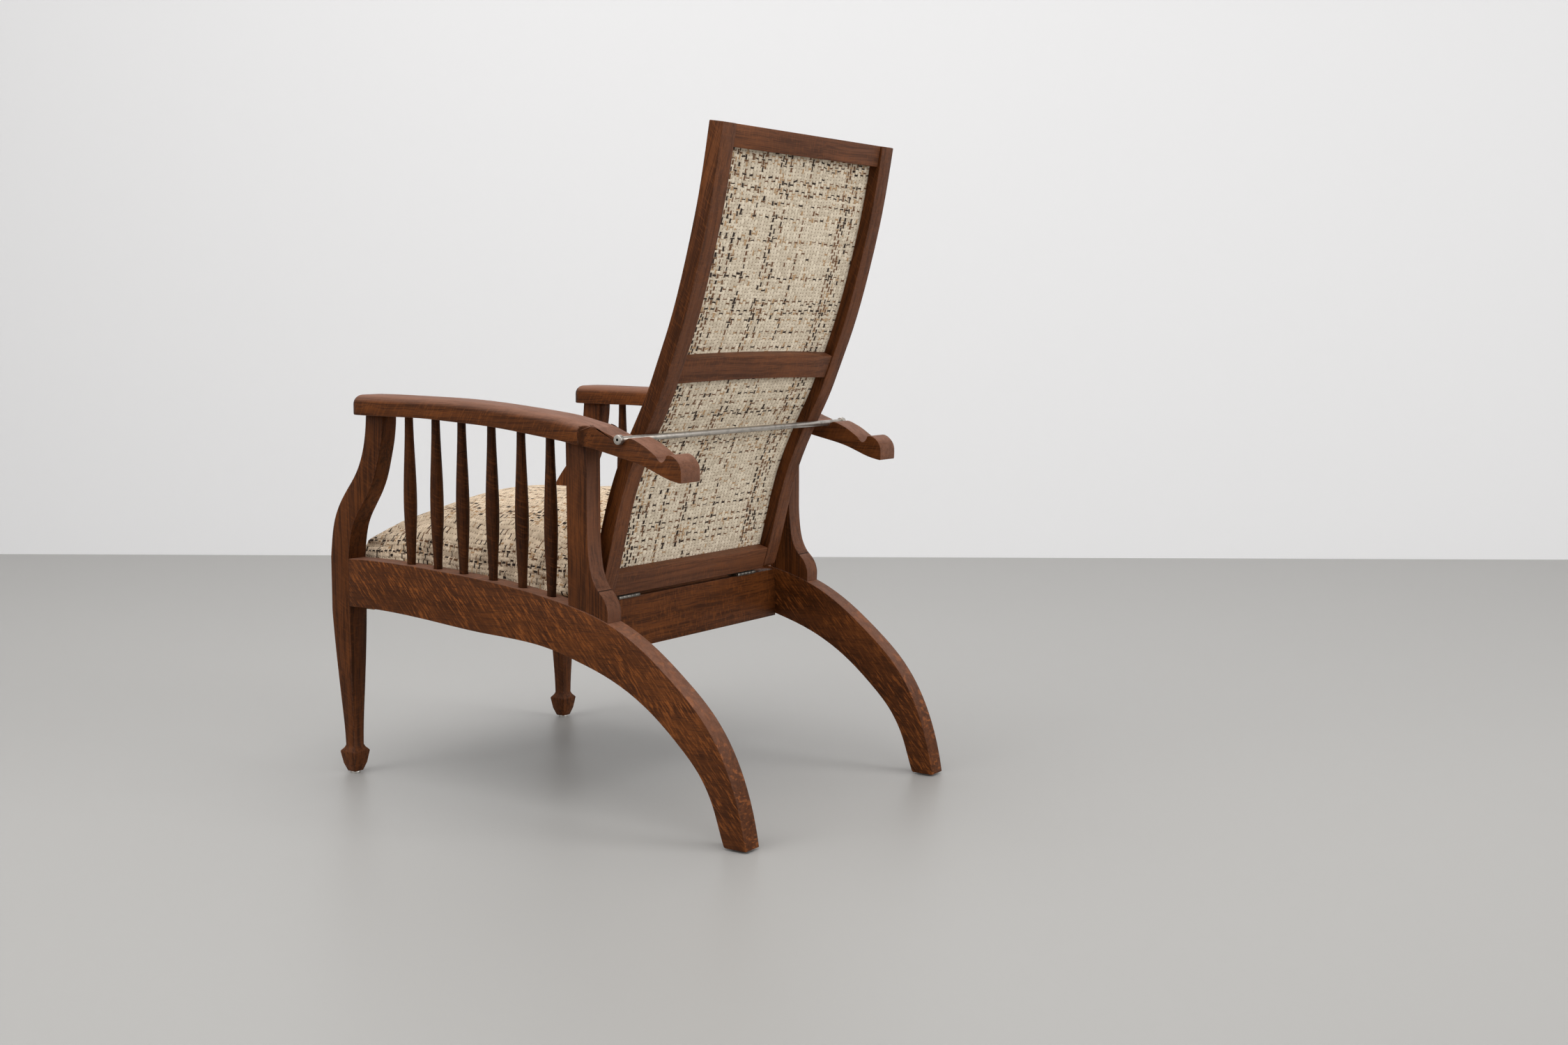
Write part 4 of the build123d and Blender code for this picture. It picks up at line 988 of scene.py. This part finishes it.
def side_seam(place, normal):
    """How far a point of the sides lies above the seam, which runs level and then falls to the rear."""
    if abs(normal.z) >= 0.75 or place.z <= SEAM_UNDER:
        return None
    (front, high), (rear, low) = SEAM_FRONT, SEAM_REAR
    along = min(1.0, max(0.0, (place.y - front) / (rear - front)))
    return place.z - (high + (low - high) * along)


def seat_chart(place, normal):
    """Place on the seat's cloth: level on top, and turned down at the front and sides."""
    down = max(0.0, CLOTH_ROLL - place.z)
    if abs(normal.y) > 0.7:
        return place.x, down - place.y
    return place.x + math.copysign(down, place.x), -place.y


class ARMCHAIR_OT_seat_cushion(Operator):
    """Make the stuffed seat cushion"""

    bl_idname = "armchair.seat_cushion"
    bl_label = "Seat cushion"

    def execute(self, context):
        piece = copy_of("seat_cushion", "seat_cushion_dressed")
        stuffed(piece, 5 * MM, 8 * MM, seat_held)
        sewn(piece, side_seam, 2.6 * MM, 4 * MM)
        colours = context.scene.armchair_colours
        cloth = tweed("seat_tweed", colours.seat_cream, colours.seat_light, dense_under=DARK_YARN_TOP)
        piece.data.materials.append(cloth)
        map_surface(piece, seat_chart)
        stands_for(piece, "seat_cushion")
        return {"FINISHED"}


# Stage: the camera in metres, degrees and millimetres, then the room and its lights
CAMERA_PLACE = Vector((2.4149, 1.9097, 0.7716))
CAMERA_YAW, CAMERA_PITCH, CAMERA_ROLL = 123.747, 6.285, 0.204
CAMERA_LENS, CAMERA_SENSOR = 41.90, 36.0
VIEW_END = 100.0
ROOM_SIZE = 40.0
WALL_AWAY = 5.97
WALL_MIDDLE = 10.0
ROOM_LIGHT = (1.0, 0.985, 0.965, 1.0)
ROOM_STRENGTH = 0.45
# Name, place, what it faces, width and height, watts
LAMPS = (
    ("sky_light", (0.9, 0.2, 3.8), (0, 0, 0.4), (4.4, 4.4), 118.0),
    ("side_light", (4.2, -1.4, 2.6), (0, 0, 0.5), (2.6, 2.2), 45.0),
    ("rear_light", (-1.4, 6.0, 2.3), (0, 0.2, 0.6), (3.0, 2.6), 142.0),
)


def flat(name, colour, rough):
    """A plain painted surface of the room."""
    material, tree, shader = new_material(name)
    feed(tree, shader, {"Base Color": (*colour, 1.0), "Roughness": rough, "Specular IOR Level": 0.4})
    return material


def room_plane(name, place, turn, material):
    """A large plane of the room, such as its floor."""
    bpy.ops.object.select_all(action="DESELECT")
    bpy.ops.mesh.primitive_plane_add(size=ROOM_SIZE, location=place, rotation=turn)
    bpy.context.object.name = name
    bpy.context.object.data.materials.append(material)
    return bpy.context.object


def lamp(name, place, aim, size, power):
    light = bpy.data.lights.new(name, "AREA")
    light.shape = "RECTANGLE"
    light.size, light.size_y = size
    light.energy = power
    made = bpy.data.objects.new(name, light)
    bpy.context.scene.collection.objects.link(made)
    made.location = place
    made.rotation_euler = (Vector(aim) - Vector(place)).to_track_quat("-Z", "Y").to_euler()


class ARMCHAIR_OT_stage(Operator):
    """Set the pale floor, the backdrop, the soft lights and the camera"""

    bl_idname = "armchair.stage"
    bl_label = "Stage"

    def execute(self, context):
        colours = context.scene.armchair_colours
        scene = context.scene
        yaw, pitch, roll = (math.radians(value) for value in (CAMERA_YAW, CAMERA_PITCH, CAMERA_ROLL))
        back = Vector((math.sin(yaw) * math.cos(pitch), -math.cos(yaw) * math.cos(pitch), math.sin(pitch)))
        level = (-back).cross(Vector((0, 0, 1))).normalized()
        upright = level.cross(-back)
        right = level * math.cos(roll) + upright * math.sin(roll)
        up = upright * math.cos(roll) - level * math.sin(roll)
        camera = bpy.data.objects.new("camera", bpy.data.cameras.new("camera"))
        scene.collection.objects.link(camera)
        facing = Matrix((right, up, back)).transposed().to_4x4()
        camera.matrix_world = Matrix.Translation(CAMERA_PLACE) @ facing
        camera.data.sensor_width = CAMERA_SENSOR
        camera.data.lens = CAMERA_LENS
        camera.data.clip_end = VIEW_END
        scene.camera = camera

        floor = room_plane("floor", (0, 0, 0), (0, 0, 0), flat("pale_floor", colours.floor, 0.42))
        view = Vector((-back.x, -back.y, 0)).normalized()
        foot = Vector((CAMERA_PLACE.x, CAMERA_PLACE.y, 0)) + view * WALL_AWAY
        middle = (foot.x, foot.y, WALL_MIDDLE)
        upended = (math.radians(90), 0, math.atan2(view.y, view.x) + math.radians(90))
        wall = room_plane("backdrop", middle, upended, flat("pale_wall", colours.wall, 0.9))

        for row in LAMPS:
            lamp(*row)
        world = bpy.data.worlds.new("soft_room")
        scene.world = world
        world.use_nodes = True
        light = world.node_tree.nodes["Background"].inputs
        light["Color"].default_value = ROOM_LIGHT
        light["Strength"].default_value = ROOM_STRENGTH
        scene.view_settings.view_transform = "Standard"
        return {"FINISHED"}


STEPS = (
    ARMCHAIR_OT_arched_boards, ARMCHAIR_OT_front_legs, ARMCHAIR_OT_rear_posts, ARMCHAIR_OT_arms,
    ARMCHAIR_OT_spindles, ARMCHAIR_OT_rails, ARMCHAIR_OT_back_frame, ARMCHAIR_OT_inner_frame,
    ARMCHAIR_OT_upholstery_base, ARMCHAIR_OT_hinges, ARMCHAIR_OT_prop_rod, ARMCHAIR_OT_glides,
    ARMCHAIR_OT_back_cloth, ARMCHAIR_OT_back_pad, ARMCHAIR_OT_seat_cushion, ARMCHAIR_OT_stage,
)


class ARMCHAIR_PT_panel(Panel):
    """Sizes, colours and the steps that dress the armchair"""

    bl_label = "Armchair"
    bl_idname = "ARMCHAIR_PT_panel"
    bl_space_type = "VIEW_3D"
    bl_region_type = "UI"
    bl_category = "Armchair"

    def draw(self, context):
        for holder in (context.scene.armchair_sizes, context.scene.armchair_colours):
            box = self.layout.box()
            for field in holder.__annotations__:
                box.prop(holder, field)
        for step in STEPS:
            self.layout.operator(step.bl_idname)


def register():
    for kind in (ArmchairSizes, ArmchairColours, *STEPS, ARMCHAIR_PT_panel):
        bpy.utils.register_class(kind)
    bpy.types.Scene.armchair_sizes = PointerProperty(type=ArmchairSizes)
    bpy.types.Scene.armchair_colours = PointerProperty(type=ArmchairColours)


def unregister():
    del bpy.types.Scene.armchair_colours
    del bpy.types.Scene.armchair_sizes
    for kind in (ARMCHAIR_PT_panel, *reversed(STEPS), ArmchairColours, ArmchairSizes):
        bpy.utils.unregister_class(kind)


def main():
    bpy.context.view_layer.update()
    register()
    for step in STEPS:
        group, action = step.bl_idname.split(".")
        getattr(getattr(bpy.ops, group), action)()


if __name__ == "__main__":
    main()
